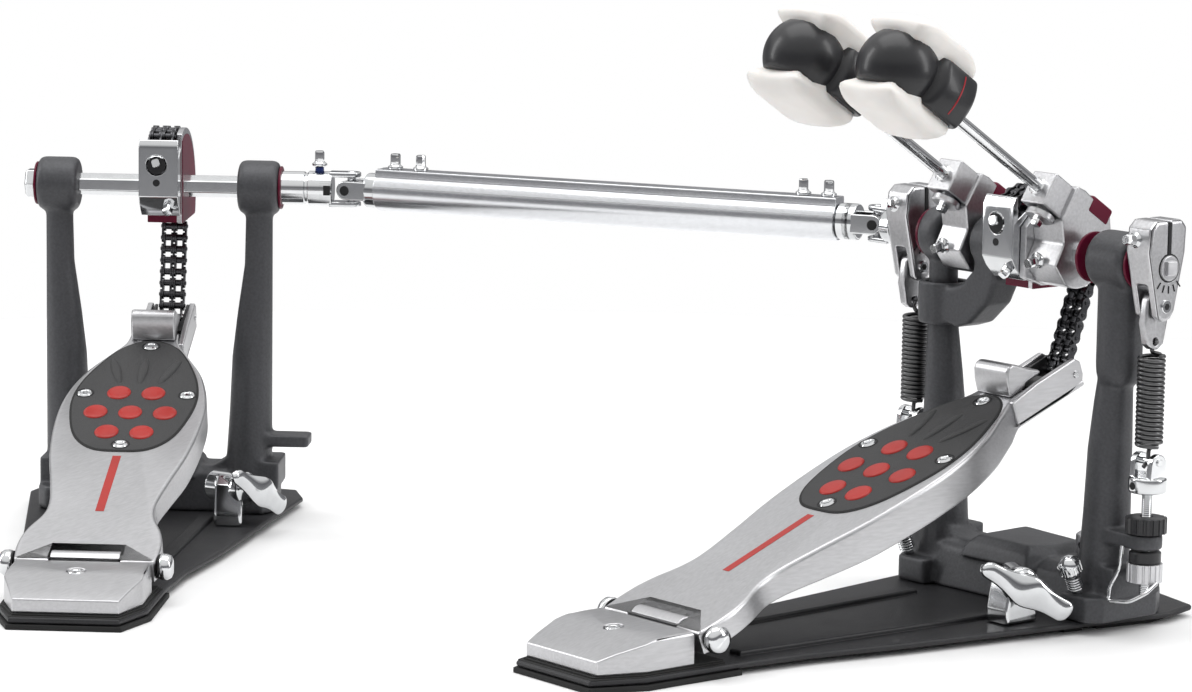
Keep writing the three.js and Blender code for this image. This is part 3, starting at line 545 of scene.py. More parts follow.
def metal(name, colour, rough, streak=(1, 1, 1), grain=400.0, depth=0.04, swing=0.08, worn=0.0,
          metallic=1.0):
    """Metal with fine streaks or grain, uneven gloss and brighter worn edges."""
    material, nodes, link, shader = new_material(name)
    shader.inputs["Metallic"].default_value = metallic
    place = nodes.new("ShaderNodeTexCoord")
    place.label = "Place on the object"
    place.location = (-1300, 0)
    stretch = nodes.new("ShaderNodeMapping")
    stretch.label = "Direction of the brushing"
    stretch.location = (-1100, 0)
    stretch.inputs["Scale"].default_value = streak
    fine = nodes.new("ShaderNodeTexNoise")
    fine.label = "Fine lines"
    fine.location = (-850, 150)
    fine.inputs["Scale"].default_value = grain
    fine.inputs["Detail"].default_value = 5.0
    broad = nodes.new("ShaderNodeTexNoise")
    broad.label = "Handling marks"
    broad.location = (-850, -250)
    broad.inputs["Scale"].default_value = 28.0
    broad.inputs["Detail"].default_value = 3.0
    tone = nodes.new("ShaderNodeValToRGB")
    tone.label = "Light and dark of the metal"
    tone.location = (-600, 250)
    tone.color_ramp.elements[0].position = 0.3
    tone.color_ramp.elements[1].position = 0.7
    tone.color_ramp.elements[0].color = [c * (1 - swing) for c in colour] + [1]
    tone.color_ramp.elements[1].color = [min(1, c * (1 + swing)) for c in colour] + [1]
    edge = nodes.new("ShaderNodeNewGeometry")
    edge.label = "Where edges are"
    edge.location = (-850, 500)
    wear = nodes.new("ShaderNodeMapRange")
    wear.label = "Edges rubbed bright"
    wear.location = (-600, 500)
    wear.inputs["From Min"].default_value = 0.52
    wear.inputs["From Max"].default_value = 0.62
    wear.inputs["To Max"].default_value = worn
    bright = nodes.new("ShaderNodeMix")
    bright.label = "Worn colour over the base"
    bright.location = (-250, 250)
    bright.data_type = "RGBA"
    bright.inputs["B"].default_value = [min(1, c * 1.5 + 0.08) for c in colour] + [1]
    gloss = nodes.new("ShaderNodeMapRange")
    gloss.label = "Uneven gloss"
    gloss.location = (-250, -150)
    gloss.inputs["To Min"].default_value = max(0.03, rough * 0.82)
    gloss.inputs["To Max"].default_value = min(1, rough * 1.2 + 0.02)
    bump = nodes.new("ShaderNodeBump")
    bump.label = "Depth of the lines"
    bump.location = (-250, -450)
    bump.inputs["Strength"].default_value = depth
    bump.inputs["Distance"].default_value = 0.0004
    link(place.outputs["Object"], stretch.inputs["Vector"])
    link(stretch.outputs["Vector"], fine.inputs["Vector"])
    link(place.outputs["Object"], broad.inputs["Vector"])
    link(fine.outputs["Fac"], tone.inputs["Fac"])
    link(edge.outputs["Pointiness"], wear.inputs["Value"])
    link(wear.outputs["Result"], bright.inputs["Factor"])
    link(tone.outputs["Color"], bright.inputs["A"])
    link(bright.outputs["Result"], shader.inputs["Base Color"])
    link(broad.outputs["Fac"], gloss.inputs["Value"])
    link(gloss.outputs["Result"], shader.inputs["Roughness"])
    link(fine.outputs["Fac"], bump.inputs["Height"])
    link(bump.outputs["Normal"], shader.inputs["Normal"])
    add_frame(nodes, "Grain of the metal", (fine, tone, bump, stretch), (0.2, 0.25, 0.3))
    add_frame(nodes, "Wear and handling", (edge, wear, broad, gloss, bright), (0.3, 0.25, 0.2))
    return material


def moulded(name, colour, rough, grain=900.0, depth=0.15, mottle=0.12, coat=0.0, glow=0.0, shine=0.35):
    """Moulded or coated surface: fine pebbled texture, faint mottling and uneven sheen."""
    material, nodes, link, shader = new_material(name)
    shader.inputs["Coat Weight"].default_value = coat
    shader.inputs["Specular IOR Level"].default_value = shine
    shader.inputs["Subsurface Weight"].default_value = glow
    shader.inputs["Subsurface Radius"].default_value = (0.004, 0.003, 0.0025)
    place = nodes.new("ShaderNodeTexCoord")
    place.label = "Place on the object"
    place.location = (-1200, 0)
    pebble = nodes.new("ShaderNodeTexNoise")
    pebble.label = "Pebbled texture"
    pebble.location = (-900, -300)
    pebble.inputs["Scale"].default_value = grain
    pebble.inputs["Detail"].default_value = 4.0
    cloud = nodes.new("ShaderNodeTexNoise")
    cloud.label = "Faint mottling"
    cloud.location = (-900, 200)
    cloud.inputs["Scale"].default_value = 45.0
    cloud.inputs["Detail"].default_value = 4.0
    tone = nodes.new("ShaderNodeValToRGB")
    tone.label = "Light and dark of the surface"
    tone.location = (-600, 250)
    tone.color_ramp.elements[0].position = 0.3
    tone.color_ramp.elements[1].position = 0.72
    tone.color_ramp.elements[0].color = [c * (1 - mottle) for c in colour] + [1]
    tone.color_ramp.elements[1].color = [min(1, c * (1 + mottle)) for c in colour] + [1]
    gloss = nodes.new("ShaderNodeMapRange")
    gloss.label = "Uneven sheen"
    gloss.location = (-600, -100)
    gloss.inputs["To Min"].default_value = rough * 0.85
    gloss.inputs["To Max"].default_value = min(1, rough * 1.15)
    bump = nodes.new("ShaderNodeBump")
    bump.label = "Depth of the pebbles"
    bump.location = (-250, -350)
    bump.inputs["Strength"].default_value = depth
    bump.inputs["Distance"].default_value = 0.0005
    link(place.outputs["Object"], pebble.inputs["Vector"])
    link(place.outputs["Object"], cloud.inputs["Vector"])
    link(cloud.outputs["Fac"], tone.inputs["Fac"])
    link(tone.outputs["Color"], shader.inputs["Base Color"])
    link(cloud.outputs["Fac"], gloss.inputs["Value"])
    link(gloss.outputs["Result"], shader.inputs["Roughness"])
    link(pebble.outputs["Fac"], bump.inputs["Height"])
    link(bump.outputs["Normal"], shader.inputs["Normal"])
    add_frame(nodes, "Colour and sheen", (cloud, tone, gloss), (0.2, 0.3, 0.2))
    add_frame(nodes, "Texture", (pebble, bump), (0.3, 0.3, 0.2))
    return material


FINISH = {}


def build_finishes():
    """All finishes, by the names the pieces use."""
    c = bpy.context.scene.pedal_colours
    FINISH.update({
        "casting": metal("Casting coat", c.casting, 0.46, grain=700, depth=0.25, swing=0.14, worn=0.5,
                         metallic=0.35),
        "silver": metal("Brushed silver", c.silver, 0.34, streak=(1, 0.12, 1), grain=900, depth=0.10,
                        worn=0.5),
        "satin": metal("Satin casting", c.silver, 0.30, grain=650, depth=0.12, swing=0.12, worn=0.6),
        "chrome": metal("Chrome", c.chrome, 0.09, grain=160, depth=0.012, swing=0.04, worn=0.4),
        "tube": metal("Bright tube", c.tube, 0.22, streak=(0.1, 1, 1), grain=700, depth=0.04, swing=0.05),
        "spring": metal("Dark spring steel", (0.09, 0.09, 0.092), 0.34, grain=600, depth=0.10, swing=0.2,
                        worn=0.6),
        "chain": metal("Blackened chain", (0.030, 0.030, 0.034), 0.30, grain=500, depth=0.12, swing=0.3,
                       worn=0.7),
        "plate": moulded("Textured black plate", c.black, 0.50, grain=1300, depth=0.45, coat=0.05),
        "black": moulded("Black plastic", (0.020, 0.020, 0.022), 0.34, grain=700, depth=0.06, coat=0.1),
        "rubber": moulded("Black rubber", (0.014, 0.014, 0.014), 0.75, grain=500, depth=0.35),
        "pad": moulded("Grip sheet", c.pad, 0.62, grain=1500, depth=0.5, mottle=0.10),
        "dot": moulded("Raised dot", c.dot, 0.42, grain=900, depth=0.10, mottle=0.10, coat=0.1),
        "line": moulded("Core line", (0.30, 0.008, 0.016), 0.4, grain=900, depth=0.08, mottle=0.1),
        "wine": moulded("Wine insert", c.wine, 0.36, grain=600, depth=0.08, coat=0.1, shine=0.15),
        "felt": moulded("Beater pad", c.felt, 0.42, grain=320, depth=0.05, mottle=0.05, glow=0.35),
        "blue": moulded("Thread lock patch", (0.02, 0.04, 0.16), 0.5, grain=800, depth=0.2),
        # Near-black finish: painted shade in holes, gaps and recesses, and the colour of the small dark
        # parts that also use it.
        "dark": moulded("Dark recess", (0.008, 0.008, 0.009), 0.6, grain=500, depth=0.2),
        "floor": moulded("Pale floor", (0.88, 0.88, 0.88), 0.7, grain=30, depth=0.01, mottle=0.01),
    })


# ---------------------------------------------------------------- small items that repeat
def turned_to(place, spot, axis=(0, 0, 1), spin=0.0):
    """A place in a frame at a spot, with the item's own Z along an axis."""
    turn = Vector(axis).to_track_quat("Z", "Y").to_matrix().to_4x4()
    return place @ Matrix.Translation(Vector(spot)) @ turn @ Matrix.Rotation(math.radians(spin), 4, "Z")


def key_bolt():
    """A square-headed drum key bolt standing on its collar."""
    bm = bmesh.new()
    lathe(bm, [(2.4, -1.2), (3.9, -0.8), (4.1, -0.2), (4.0, 0.4), (3.0, 1.0), (2.6, 1.8)], sides=28)
    half, cut = 2.35, 1.4
    corner = [(half, cut), (cut, half)]
    square = []
    for _ in range(4):
        square += corner
        corner = [(-b, a) for a, b in corner]
    levels = [(0.94, 1.2), (1.0, 1.8), (1.0, 6.4), (0.86, 7.2)]
    skin(bm, [[Vector((a * k, b * k, z)) for a, b in square] for k, z in levels])
    return bm


def flush_screw(radius):
    """A domed screw head with a shallow ring and a three-sided socket."""
    bm = bmesh.new()
    socket = radius * 0.45
    dome = [(radius, -1.0), (radius, 0.1), (radius - 0.4, 0.55), (radius * 0.62, 0.75)]
    lathe(bm, dome + [(radius * 0.55, 0.45), (socket, 0.35)], sides=32)
    prism(bm, circle(socket, 3), 0.3, 0.62)
    return bm


def socket_screw(radius):
    """A plain round screw head."""
    bm = bmesh.new()
    lathe(bm, [(radius, -1.0), (radius, 0.8), (radius - 0.3, 1.1), (radius * 0.62, 1.1)], sides=24)
    return bm


def socket_shade(radius):
    """Painted shade: a dark six-sided patch on top of a socket screw, where its socket hole falls into
    shade.
    """
    bm = bmesh.new()
    prism(bm, circle(radius, 6), 1.05, 1.16)
    return bm


def rib_item(height, depth, half=0.45):
    """One rib of a knurled edge."""
    bm = bmesh.new()
    outline = [(-0.2, -half), (depth, -half * 0.7), (depth, half * 0.7), (-0.2, half)]
    prism(bm, outline, -height / 2, height / 2)
    return bm


def around(place, centre, radius, total, z):
    """Places round a ring, each facing outwards."""
    out = []
    for i in range(total):
        turn = math.tau * i / total
        spot = Vector(centre) + Vector((radius * math.cos(turn), radius * math.sin(turn), z))
        out.append(place @ Matrix.Translation(spot) @ Matrix.Rotation(turn, 4, "Z"))
    return out


# ---------------------------------------------------------------- floor parts
HINGE_HALF = 38
HEEL_SCREW = (0, -30, 21.4)


def build_heel_ridges(side):
    """Low ridges round the edge of the rubber under the heel plate."""
    bm = bmesh.new()
    for step in range(3):
        inward = step * 1.2
        outline = mirrored([(27 - step * 1.4, -65 + step * 2.2), (36.4 - inward, -40), (37 - inward, 8)])
        prism(bm, outline, 5.6 + step * 0.5, 6.3 + step * 0.7)
    make(f"{side}_heel_ridges", bm, GROUND_BODY[side], FINISH["rubber"], PEDAL[side], edge=0.25)


def build_hinge(side):
    """The hinge pin with a domed head at each end, and its two washers."""
    place, body = PEDAL[side], GROUND_BODY[side]
    centre = (0, 0, HINGE.z)
    head = [(5.4, 36.7), (6.4, 37.2), (6.7, 38.4), (6.5, 40.8), (5.4, 42.6), (3.2, 43.4), (0.1, 43.6)]
    pin = bmesh.new()
    drum(pin, 3.0, -HINGE_HALF, HINGE_HALF, "x", centre, 24)
    for sign in (-1, 1):
        lathe(pin, [(radius, sign * x) for radius, x in head], "x", centre, 36)
    make(f"{side}_hinge_pin_look", pin, body, FINISH["chrome"], place, (f"{side}_hinge_pin",), sharp=50)
    washers = bmesh.new()
    for sign in (-1, 1):
        low, high = sorted((sign * 36.1, sign * 36.9))
        drum(washers, 6.2, low, high, "x", centre, 36, 0.2)
    make(f"{side}_hinge_washers", washers, body, FINISH["dark"], place)


def build_floor_parts():
    """Base plate, mat, heel plate and hinge of both pedals."""
    for side, body in GROUND_BODY.items():
        finish_node(f"{side}_base_plate", body, FINISH["plate"], edge=0.45)
        finish_node(f"{side}_rubber_mat", body, FINISH["rubber"], edge=0.4)
        finish_node(f"{side}_heel_plate", body, FINISH["silver"], edge=0.7)
        build_heel_ridges(side)
        screw_place = PEDAL[side] @ Matrix.Translation(HEEL_SCREW)
        repeat(f"{side}_heel_screw", flush_screw(4.3), [screw_place], body, FINISH["chrome"])
        build_hinge(side)


# ---------------------------------------------------------------- castings
FRAME_FLOOR = 6.3
POST_TOP = 176
POST_RADIUS = 7.2
NECK_X = 69


def post_loops(x, inward):
    """Round post whose outer edge stands straight while its inner edge swells downwards."""
    levels = [(POST_TOP, POST_RADIUS), (140, 7.6), (112, 9.6), (90, 10.9), (60, 11.6), (30, 12.6),
              (FRAME_FLOOR, 13.2)]
    loops = []
    for z, radius in levels:
        shift = inward * (radius - POST_RADIUS)
        loops.append([Vector((x + shift + a, AXLE.y + b, z)) for a, b in circle(radius, 40)])
    return loops


def add_post(bm, x, half):
    """One post with its bearing barrel, its foot on the base plate and the gusset between them."""
    inward = 1 if x < 0 else -1
    skin(bm, post_loops(x, inward))
    low, high = x - half, x + half
    barrel = [(11.6, low), (13.6, low + 0.9), (BARREL, low + 3), (BARREL, high - 3), (13.6, high - 0.9),
              (11.6, high)]
    lathe(bm, barrel, "x", (0, AXLE.y, AXLE.z), 64)
    outer, inner = x - inward * 9.6, x + inward * 14
    foot = [(inner, 206), (outer + inward * 5, 206), (outer, 213), (outer, 250)]
    prism(bm, foot + [(outer + inward * 7, 260), (inner, 260)], FRAME_FLOOR, 19)
    block(bm, (x - 9.5, 216.5, 18), (x + 12, 250, 33.5))
    bend, rise = 28, 56
    start = x + inward * 7
    curve = arc(start + inward * bend, rise, bend, 180 if inward > 0 else 360, 270, 10)
    gusset = [(start - inward * 5, rise)] + curve + [(start + inward * bend, 20), (start - inward * 5, 20)]
    prism(bm, gusset, AXLE.y - 8, AXLE.y + 8, "y")


def add_neck(bm):
    """The oval neck that widens the right post under its barrel."""
    x = NECK_X
    section = oval(x, AXLE.y, 11.5, 11, 40)
    levels = [(0.62, 121), (0.86, 123), (0.97, 127), (1, 132), (1, 180)]
    skin(bm, [[Vector((x + (a - x) * k, AXLE.y + (b - AXLE.y) * k, z)) for a, b in section]
              for k, z in levels])


def add_spring_lug(bm, post, reach, z):
    """An ear from a post out to the rod of its spring."""
    sideways = 1 if reach > post else -1
    ear = arc(reach, SPRING_Y, LUG_HALF, -90, 90 if sideways > 0 else -270, 14)
    outline = [(post, SPRING_Y - LUG_HALF)] + ear + [(post, SPRING_Y + LUG_HALF)]
    prism(bm, outline, z - 3.7, z + 3.7)


def add_side_peg(bm):
    """The flat peg that sticks out to the right of the second pedal's right post."""
    block(bm, (54, AXLE.y - 9, 41), (84, AXLE.y + 7, 48))


def add_bridge(bm, left, right):
    """The bar that joins the feet behind the footboard, with its low hood in the middle."""
    section = [(212, FRAME_FLOOR), (216, 26), (222, 30), (244, 30), (252, 22), (254, FRAME_FLOOR)]
    prism(bm, section, left, right, "x")
    x, y = (left + right) / 2, 235
    hood = [(x - 26, 214), (x + 18, 214), (x + 25, 228), (x + 22, 252), (x - 28, 257)]
    levels = ((1.1, 24), (1.0, 31), (0.8, 35.6))
    skin(bm, [[Vector((x + (a - x) * k, y + (b - y) * k, z)) for a, b in hood] for k, z in levels])


def build_frame(side, posts, halves):
    """One cast frame: two posts with barrels, and the bridge between their feet."""
    bm = bmesh.new()
    left, right = posts
    for x, half in zip(posts, halves):
        add_post(bm, x, half)
    if side == "main":
        add_neck(bm)
        add_spring_lug(bm, right, SPRING_X["main"], SPRING_LUG["main"])
        add_spring_lug(bm, left, SPRING_X["slave"], SPRING_LUG["slave"])
    else:
        add_side_peg(bm)
    add_bridge(bm, left, right)
    grain = bpy.context.scene.pedal_sizes.grain
    make(f"{side}_frame_look", bm, GROUND_BODY[side], FINISH["casting"], PEDAL[side], (f"{side}_frame",),
         cast=grain, passes=7)


def build_bearing_rings(name, radius, spans, body, place):
    """The coloured rings that show at the ends of the barrels."""
    bm = bmesh.new()
    for low, high in spans:
        drum(bm, radius, low, high, "x", (0, 0, 0), 48, 0.3)
    make(name, bm, body, FINISH["wine"], place)


def build_castings():
    build_frame("main", MAIN_POSTS, (6.5, 12.5))
    build_frame("left", LEFT_POSTS, (11, 11))
    finish_node("outrigger_arm", "root", FINISH["casting"], cast=0.9, passes=10)
    main_spans = ((48.9, 50.6), (81.2, 82.8), (-64.0, -62.2))
    build_bearing_rings("main_bearing_rings", 12.4, main_spans, "root", ON_AXLE)
    left_spans = ((67.1, 68.4), (-65.4, -64.1))
    build_bearing_rings("left_bearing_rings", 11.6, left_spans, "left_pedal", LEFT @ ON_AXLE)


# ---------------------------------------------------------------- treadles
HEEL_NOTCH = [(17.6, 8.8), (17.6, -6.2)]
BOARD = [(34.5, -6.2), (36, -1), (36, 14), (33.6, 26), (28.4, 40), (27.4, 54), (31, 78), (36, 106),
         (38.6, 138), (37.6, 166), (31.4, 192), (21, 214), (14.8, 227), (13.4, 240)]
PAD = [(0, 105.5), (15, 108), (26, 122), (32, 148), (32.5, 170), (27, 194), (15, 220),
       (0, 229), (-15, 220), (-27, 194), (-32.5, 170), (-32, 148), (-26, 122), (-15, 108)]
PAD_MIDDLE = 167.0
BOARD_TOP = 6.0
SHALLOW_SKIRT = 5.5
EXTRA_SKIRT = 6.5
CHANNEL = (CAM_X - 13, CAM_X + 13)
CHANNEL_WALL = 3.2
TIP = 275.0
TOE_STOP_HALF = 12


def skirt_height(v):
    """Where the side skirt ends, below the board's own plane and lowest under the pad."""
    return -SHALLOW_SKIRT - EXTRA_SKIRT * smooth_step((v - 20) / 90) * smooth_step((245 - v) / 30)


def build_board(side):
    """The cast board: a flat top, a rounded edge and a skirt that is hollow underneath."""
    outline = mirrored(HEEL_NOTCH + smooth_half(BOARD))
    top_edge = [(1.8, BOARD_TOP), (0.7, 5.6), (0.15, 4.7), (0.0, 3.6)]
    loops = [[Vector((x, v, z)) for x, v in inset(outline, d)] for d, z in top_edge]
    for d, k in ((0.0, 0.9), (0.5, 1.0), (2.2, 1.0)):
        loops.append([Vector((x, v, skirt_height(v) * k)) for x, v in inset(outline, d)])
    loops.append([Vector((x, v, 2.2)) for x, v in inset(outline, 3.4)])
    bm = bmesh.new()
    skin(bm, loops)
    board = make(f"{side}_footboard_look", bm, f"{side}_treadle", FINISH["silver"], board_place(side),
                 (f"{side}_footboard",), sharp=40)
    even_shading(board)


def build_tip(side):
    """The channel at the board's tip that holds the chain's bracket and pin."""
    place, body = board_place(side), f"{side}_treadle"
    low, high = CHANNEL
    wall = [(226, -7.6), (262, -8), (TIP - 1.5, -5.6), (TIP, -2), (TIP, 4.8), (TIP - 3, 7.8), (244, 7.8),
            (226, 6)]
    channel = bmesh.new()
    prism(channel, wall, low, low + CHANNEL_WALL, "x")
    prism(channel, wall, high - CHANNEL_WALL, high, "x")
    block(channel, (low, 226, -8), (high, TIP - 1, -4.9))
    make(f"{side}_tip_channel", channel, body, FINISH["silver"], place, edge=0.8)
    finish_node(f"{side}_chain_bracket", body, FINISH["black"], edge=0.4)
    pin = bmesh.new()
    drum(pin, 1.9, low - 0.8, high + 0.8, "x", (0, CHAIN_PIN_ALONG, 0), 20)
    make(f"{side}_chain_pin", pin, body, FINISH["chrome"], place)


def build_toe_stop(side):
    """The raised lip that stops the toe at the end of the board."""
    bm = bmesh.new()
    foot = BOARD_TOP + 0.2
    face = [(229.4, foot), (229.9, 14), (231.4, 19), (233.6, 21.2), (236.6, 21.4), (239, 20), (246, 14.4),
            (252.6, 10.4), (253, 8.4), (241, 8.2), (241, foot)]
    prism(bm, face, -TOE_STOP_HALF, TOE_STOP_HALF, "x")
    make(f"{side}_toe_stop_look", bm, f"{side}_treadle", FINISH["silver"], board_place(side),
         (f"{side}_toe_stop",), edge=1.3)


def pad_loop(k, z):
    """The pad's outline drawn in towards its middle, less along the board than across it."""
    along_k = 1 - (1 - k) * 0.55
    return [Vector((x * k, (v - PAD_MIDDLE) * along_k + PAD_MIDDLE, z)) for x, v in smooth_loop(PAD, 6)]


def build_grip_sheet(side, body, place):
    """The dark sheet with three ribs near its tip, in a thin rubber rim."""
    rim = bmesh.new()
    skin(rim, [pad_loop(k, z) for k, z in ((1.012, 5.4), (1.012, 6.2), (1.0, 6.45))])
    make(f"{side}_grip_rim", rim, body, FINISH["rubber"], place)
    sheet = bmesh.new()
    skin(sheet, [pad_loop(k, z) for k, z in ((0.975, 5.6), (0.975, 6.55), (0.965, 6.8))])
    rib = [Vector((a, b, 0)) for a, b in oval(0, 0, 2.6, 15, 28)]
    levels = ((1, 0), (0.9, 0.8), (0.6, 1.3))
    for lean, x in ((0, 0), (-16, 14.5), (16, -14.5)):
        turn = Matrix.Translation((x, 193, 6.6)) @ Matrix.Rotation(math.radians(lean), 4, "Z")
        skin(sheet, [[turn @ (point * k + Vector((0, 0, z))) for point in rib] for k, z in levels])
    make(f"{side}_grip_sheet", sheet, body, FINISH["pad"], place, (f"{side}_traction_plate",), sharp=50)


def build_dots(side, body, place):
    """Seven raised dots in rows of two, three and two."""
    dot = bmesh.new()
    levels = ((1, -0.6), (1, 0.35), (0.93, 0.8), (0.75, 1.05), (0.4, 1.15))
    skin(dot, [[Vector((a, b, z)) for a, b in oval(0, 0, 6.3 * k, 7.15 * k)] for k, z in levels])
    rows = ((-1, (-1, 1)), (0, (-2, 0, 2)), (1, (-1, 1)))
    spots = [(step * 9.15, 146.3 + row * 21.5) for row, steps in rows for step in steps]
    places = [place @ Matrix.Translation((x, v, 6.7)) for x, v in spots]
    repeat(f"{side}_dots", dot, places, body, FINISH["dot"], 60)


def build_grip_screws(side, body, place):
    """Four screws, one on each side of the sheet, in cups coloured near-black as painted shade in their
    recesses.
    """
    screws = [(0, 221.5), (-27.3, 167), (27.3, 167), (0, 112)]
    # Painted shade: the cups round the screws take the near-black recess finish.
    cups = bmesh.new()
    for x, v in screws:
        lathe(cups, [(5.0, 6.3), (5.0, 6.9), (4.5, 7.1), (4.1, 6.6)], "z", (x, v, 0), 32)
    make(f"{side}_grip_cups", cups, body, FINISH["dark"], place)
    places = [place @ Matrix.Translation((x, v, 6.75)) @ Matrix.Rotation(x, 4, "Z") for x, v in screws]
    repeat(f"{side}_grip_screws", flush_screw(3.9), places, body, FINISH["chrome"])


def build_centre_line(side, body, place):
    bm = bmesh.new()
    block(bm, (-2.2, 43.3, 5.6), (2.2, 100.8, 6.12))
    make(f"{side}_centre_line", bm, body, FINISH["dot"], place)


def build_treadles():
    for side in PEDAL:
        build_board(side)
        build_tip(side)
        build_toe_stop(side)
        for build_part in (build_grip_sheet, build_dots, build_grip_screws, build_centre_line):
            build_part(side, f"{side}_treadle", board_place(side))


# ---------------------------------------------------------------- axles and cams
def hexagon(bm, low, high):
    across = HEX_FLATS / math.sqrt(3)
    prism(bm, circle(across, 6, math.pi / 2), low, high, "x")


CAM_NEAR = -6.7
CAM_FLOOR = -19.5
CAM_FACE = -21.15


def cam_sector(radius):
    """The part of an off-centre disc behind the block and above its floor."""
    low = math.degrees(math.asin((CAM_FLOOR - CAM_SHIFT[1]) / radius))
    high = math.degrees(math.acos((CAM_NEAR - CAM_SHIFT[0]) / radius))
    return [(CAM_NEAR, CAM_FLOOR)] + arc(*CAM_SHIFT, radius, low, high, 40)


def build_cam(side):
    """A square block with a round sector behind it: soft insert, metal cheek and coloured disc."""
    place, body = PEDAL[side] @ ON_AXLE, AXLE_BODY[side]
    finish_node(f"{side}_cam_block", body, FINISH["chrome"], edge=0.45)
    insert = bmesh.new()
    prism(insert, cam_sector(32.6), CAM_X - 8, CAM_X + 8, "x")
    make(f"{side}_cam_insert_look", insert, body, FINISH["wine"], place, (f"{side}_cam_insert",), edge=0.4)
    cheek = bmesh.new()
    prism(cheek, cam_sector(37.8), CAM_X + 7.7, CAM_X + 11, "x")
    make(f"{side}_cam_cheek", cheek, body, FINISH["satin"], place, edge=0.6)
    disc = bmesh.new()
    prism(disc, cam_sector(34.5), CAM_X + 10.8, CAM_X + 11.25, "x")
    make(f"{side}_cam_disc", disc, body, FINISH["wine"], place)
    if side == "main":
        build_cam_flange(body, place)
    # Painted shade: thin near-black discs laid on the block's face where the bolt recess and the small hole
    # fall into shade.
    recess = bmesh.new()
    bolt_x = CAM_X - 1
    deep, proud = CAM_FACE + 0.05, CAM_FACE - 0.05
    lathe(recess, [(4.9, deep), (4.9, proud), (4.4, CAM_FACE - 0.1)], "y", (bolt_x, 0, 13), 32)
    lathe(recess, [(1.9, deep), (1.9, CAM_FACE - 0.08)], "y", (bolt_x, 0, 3.6), 20)
    make(f"{side}_cam_recesses", recess, body, FINISH["dark"], place)
    bolts = [turned_to(place, (bolt_x, CAM_FACE + 4.2, 13), (0, -1, 0.25), 20),
             turned_to(place, (CAM_X + 5, -16.6, -7.6), (0, -0.8, -0.75), 30)]
    repeat(f"{side}_cam_bolts", key_bolt(), bolts, body, FINISH["chrome"])


def build_cam_flange(body, place):
    """The plate between the main cam and the beater hub."""
    bm = bmesh.new()
    outline = [(-16, -13), (-4, -17.5), (12, -17.5), (19, -13), (19, 12), (10, 20), (-8, 20), (-16, 12)]
    prism(bm, outline, CAM_X + 10.9, CAM_X + 15.2, "x")
    make("main_cam_flange", bm, body, FINISH["satin"], place, edge=0.6)


def build_cams():
    for side in PEDAL:
        build_cam(side)
    shaft = bmesh.new()
    hexagon(shaft, -10.5, 100.5)
    make("main_shaft_look", shaft, "main_axle", FINISH["chrome"], ON_AXLE, ("main_shaft",), edge=0.5)
    shaft = bmesh.new()
    hexagon(shaft, -68, 80)
    lathe(shaft, [(6.6, -71), (8.4, -70), (8.4, -65.8), (7.4, -65.2)], "x", sides=6)
    make("left_shaft_look", shaft, "left_axle", FINISH["chrome"], LEFT @ ON_AXLE, ("left_shaft",), edge=0.5)


# ---------------------------------------------------------------- chains
def link_plate(bm, x, pitch, thick):
    """One figure-eight side plate between two pins."""
    wide, waist = 2.75, 1.9
    outline = arc(pitch / 2, 0, wide, -125, 125, 10) + [(0, waist)]
    outline = outline + arc(-pitch / 2, 0, wide, 55, 305, 10) + [(0, -waist)]
    prism(bm, outline, x - thick / 2, x + thick / 2, "x")


def outer_link(pitch, thick):
    """Two outer plates, a middle one and the two pins through them."""
    bm = bmesh.new()
    for x in (-6.3, 6.3):
        link_plate(bm, x, pitch, thick)
    link_plate(bm, 0, pitch, thick)
    for y in (-pitch / 2, pitch / 2):
        drum(bm, 1.15, -7.4, 7.4, "x", (0, y, 0), 14, 0.3)
    return bm


def inner_link(pitch, thick):
    """Four inner plates with rollers between them."""
    bm = bmesh.new()
    for x in (-5.2, -1.1, 1.1, 5.2):
        link_plate(bm, x, pitch, thick)
    for y in (-pitch / 2, pitch / 2):
        for low in (-4.7, 1.6):
            drum(bm, 1.8, low, low + 3.1, "x", (0, y, 0), 16, 0.2)
    return bm


def chain_spots(points):
    """Places of links between chain pins, in a plane of constant X."""
    out = []
    for near, far in zip(points, points[1:]):
        mid = (Vector(near) + Vector(far)) / 2
        run = math.atan2(far[1] - near[1], far[0] - near[0])
        out.append(Matrix.Translation((CAM_X, mid.x, mid.y)) @ Matrix.Rotation(run, 4, "X"))
    return out


CHAIN_END = 127


def build_chain(side):
    """Links from the treadle's pin up to the cam, and on round it."""
    sizes = bpy.context.scene.pedal_sizes
    place = PEDAL[side]
    top = place.inverted() @ pivot(f"{side}_chain_swing")
    tilt = math.radians(TILT[side])
    pin = Vector((CHAIN_PIN_ALONG * math.cos(tilt), HINGE.z + CHAIN_PIN_ALONG * math.sin(tilt)))
    start = Vector((top.y, top.z))
    run = (pin - start).length
    steps = round(run / sizes.chain_pitch)
    straight = [start.lerp(pin, i / steps) for i in range(steps + 1)]
    centre = Vector((AXLE.y + CAM_SHIFT[0], AXLE.z + CAM_SHIFT[1]))
    leave = math.atan2(start.y - centre.y, start.x - centre.x)
    turn = 2 * math.asin(sizes.chain_pitch / 2 / CHAIN_RADIUS)
    wraps = int((math.radians(CHAIN_END) - leave) / turn)
    angles = [leave + i * turn for i in range(wraps + 1)]
    curved = [centre + CHAIN_RADIUS * Vector((math.cos(angle), math.sin(angle))) for angle in angles]
    for name, points, body in (("run", straight, f"{side}_chain"), ("wrap", curved, AXLE_BODY[side])):
        node = f"{side}_chain_{name}"
        spots = [place @ spot for spot in chain_spots(points)]
        outer = outer_link(sizes.chain_pitch, sizes.chain_plate)
        repeat(f"{node}_outer", outer, spots[::2], body, FINISH["chain"], stands_for=(node,))
        inner = inner_link(sizes.chain_pitch, sizes.chain_plate)
        repeat(f"{node}_inner", inner, spots[1::2], body, FINISH["chain"])


def build_chains():
    for side in PEDAL:
        build_chain(side)


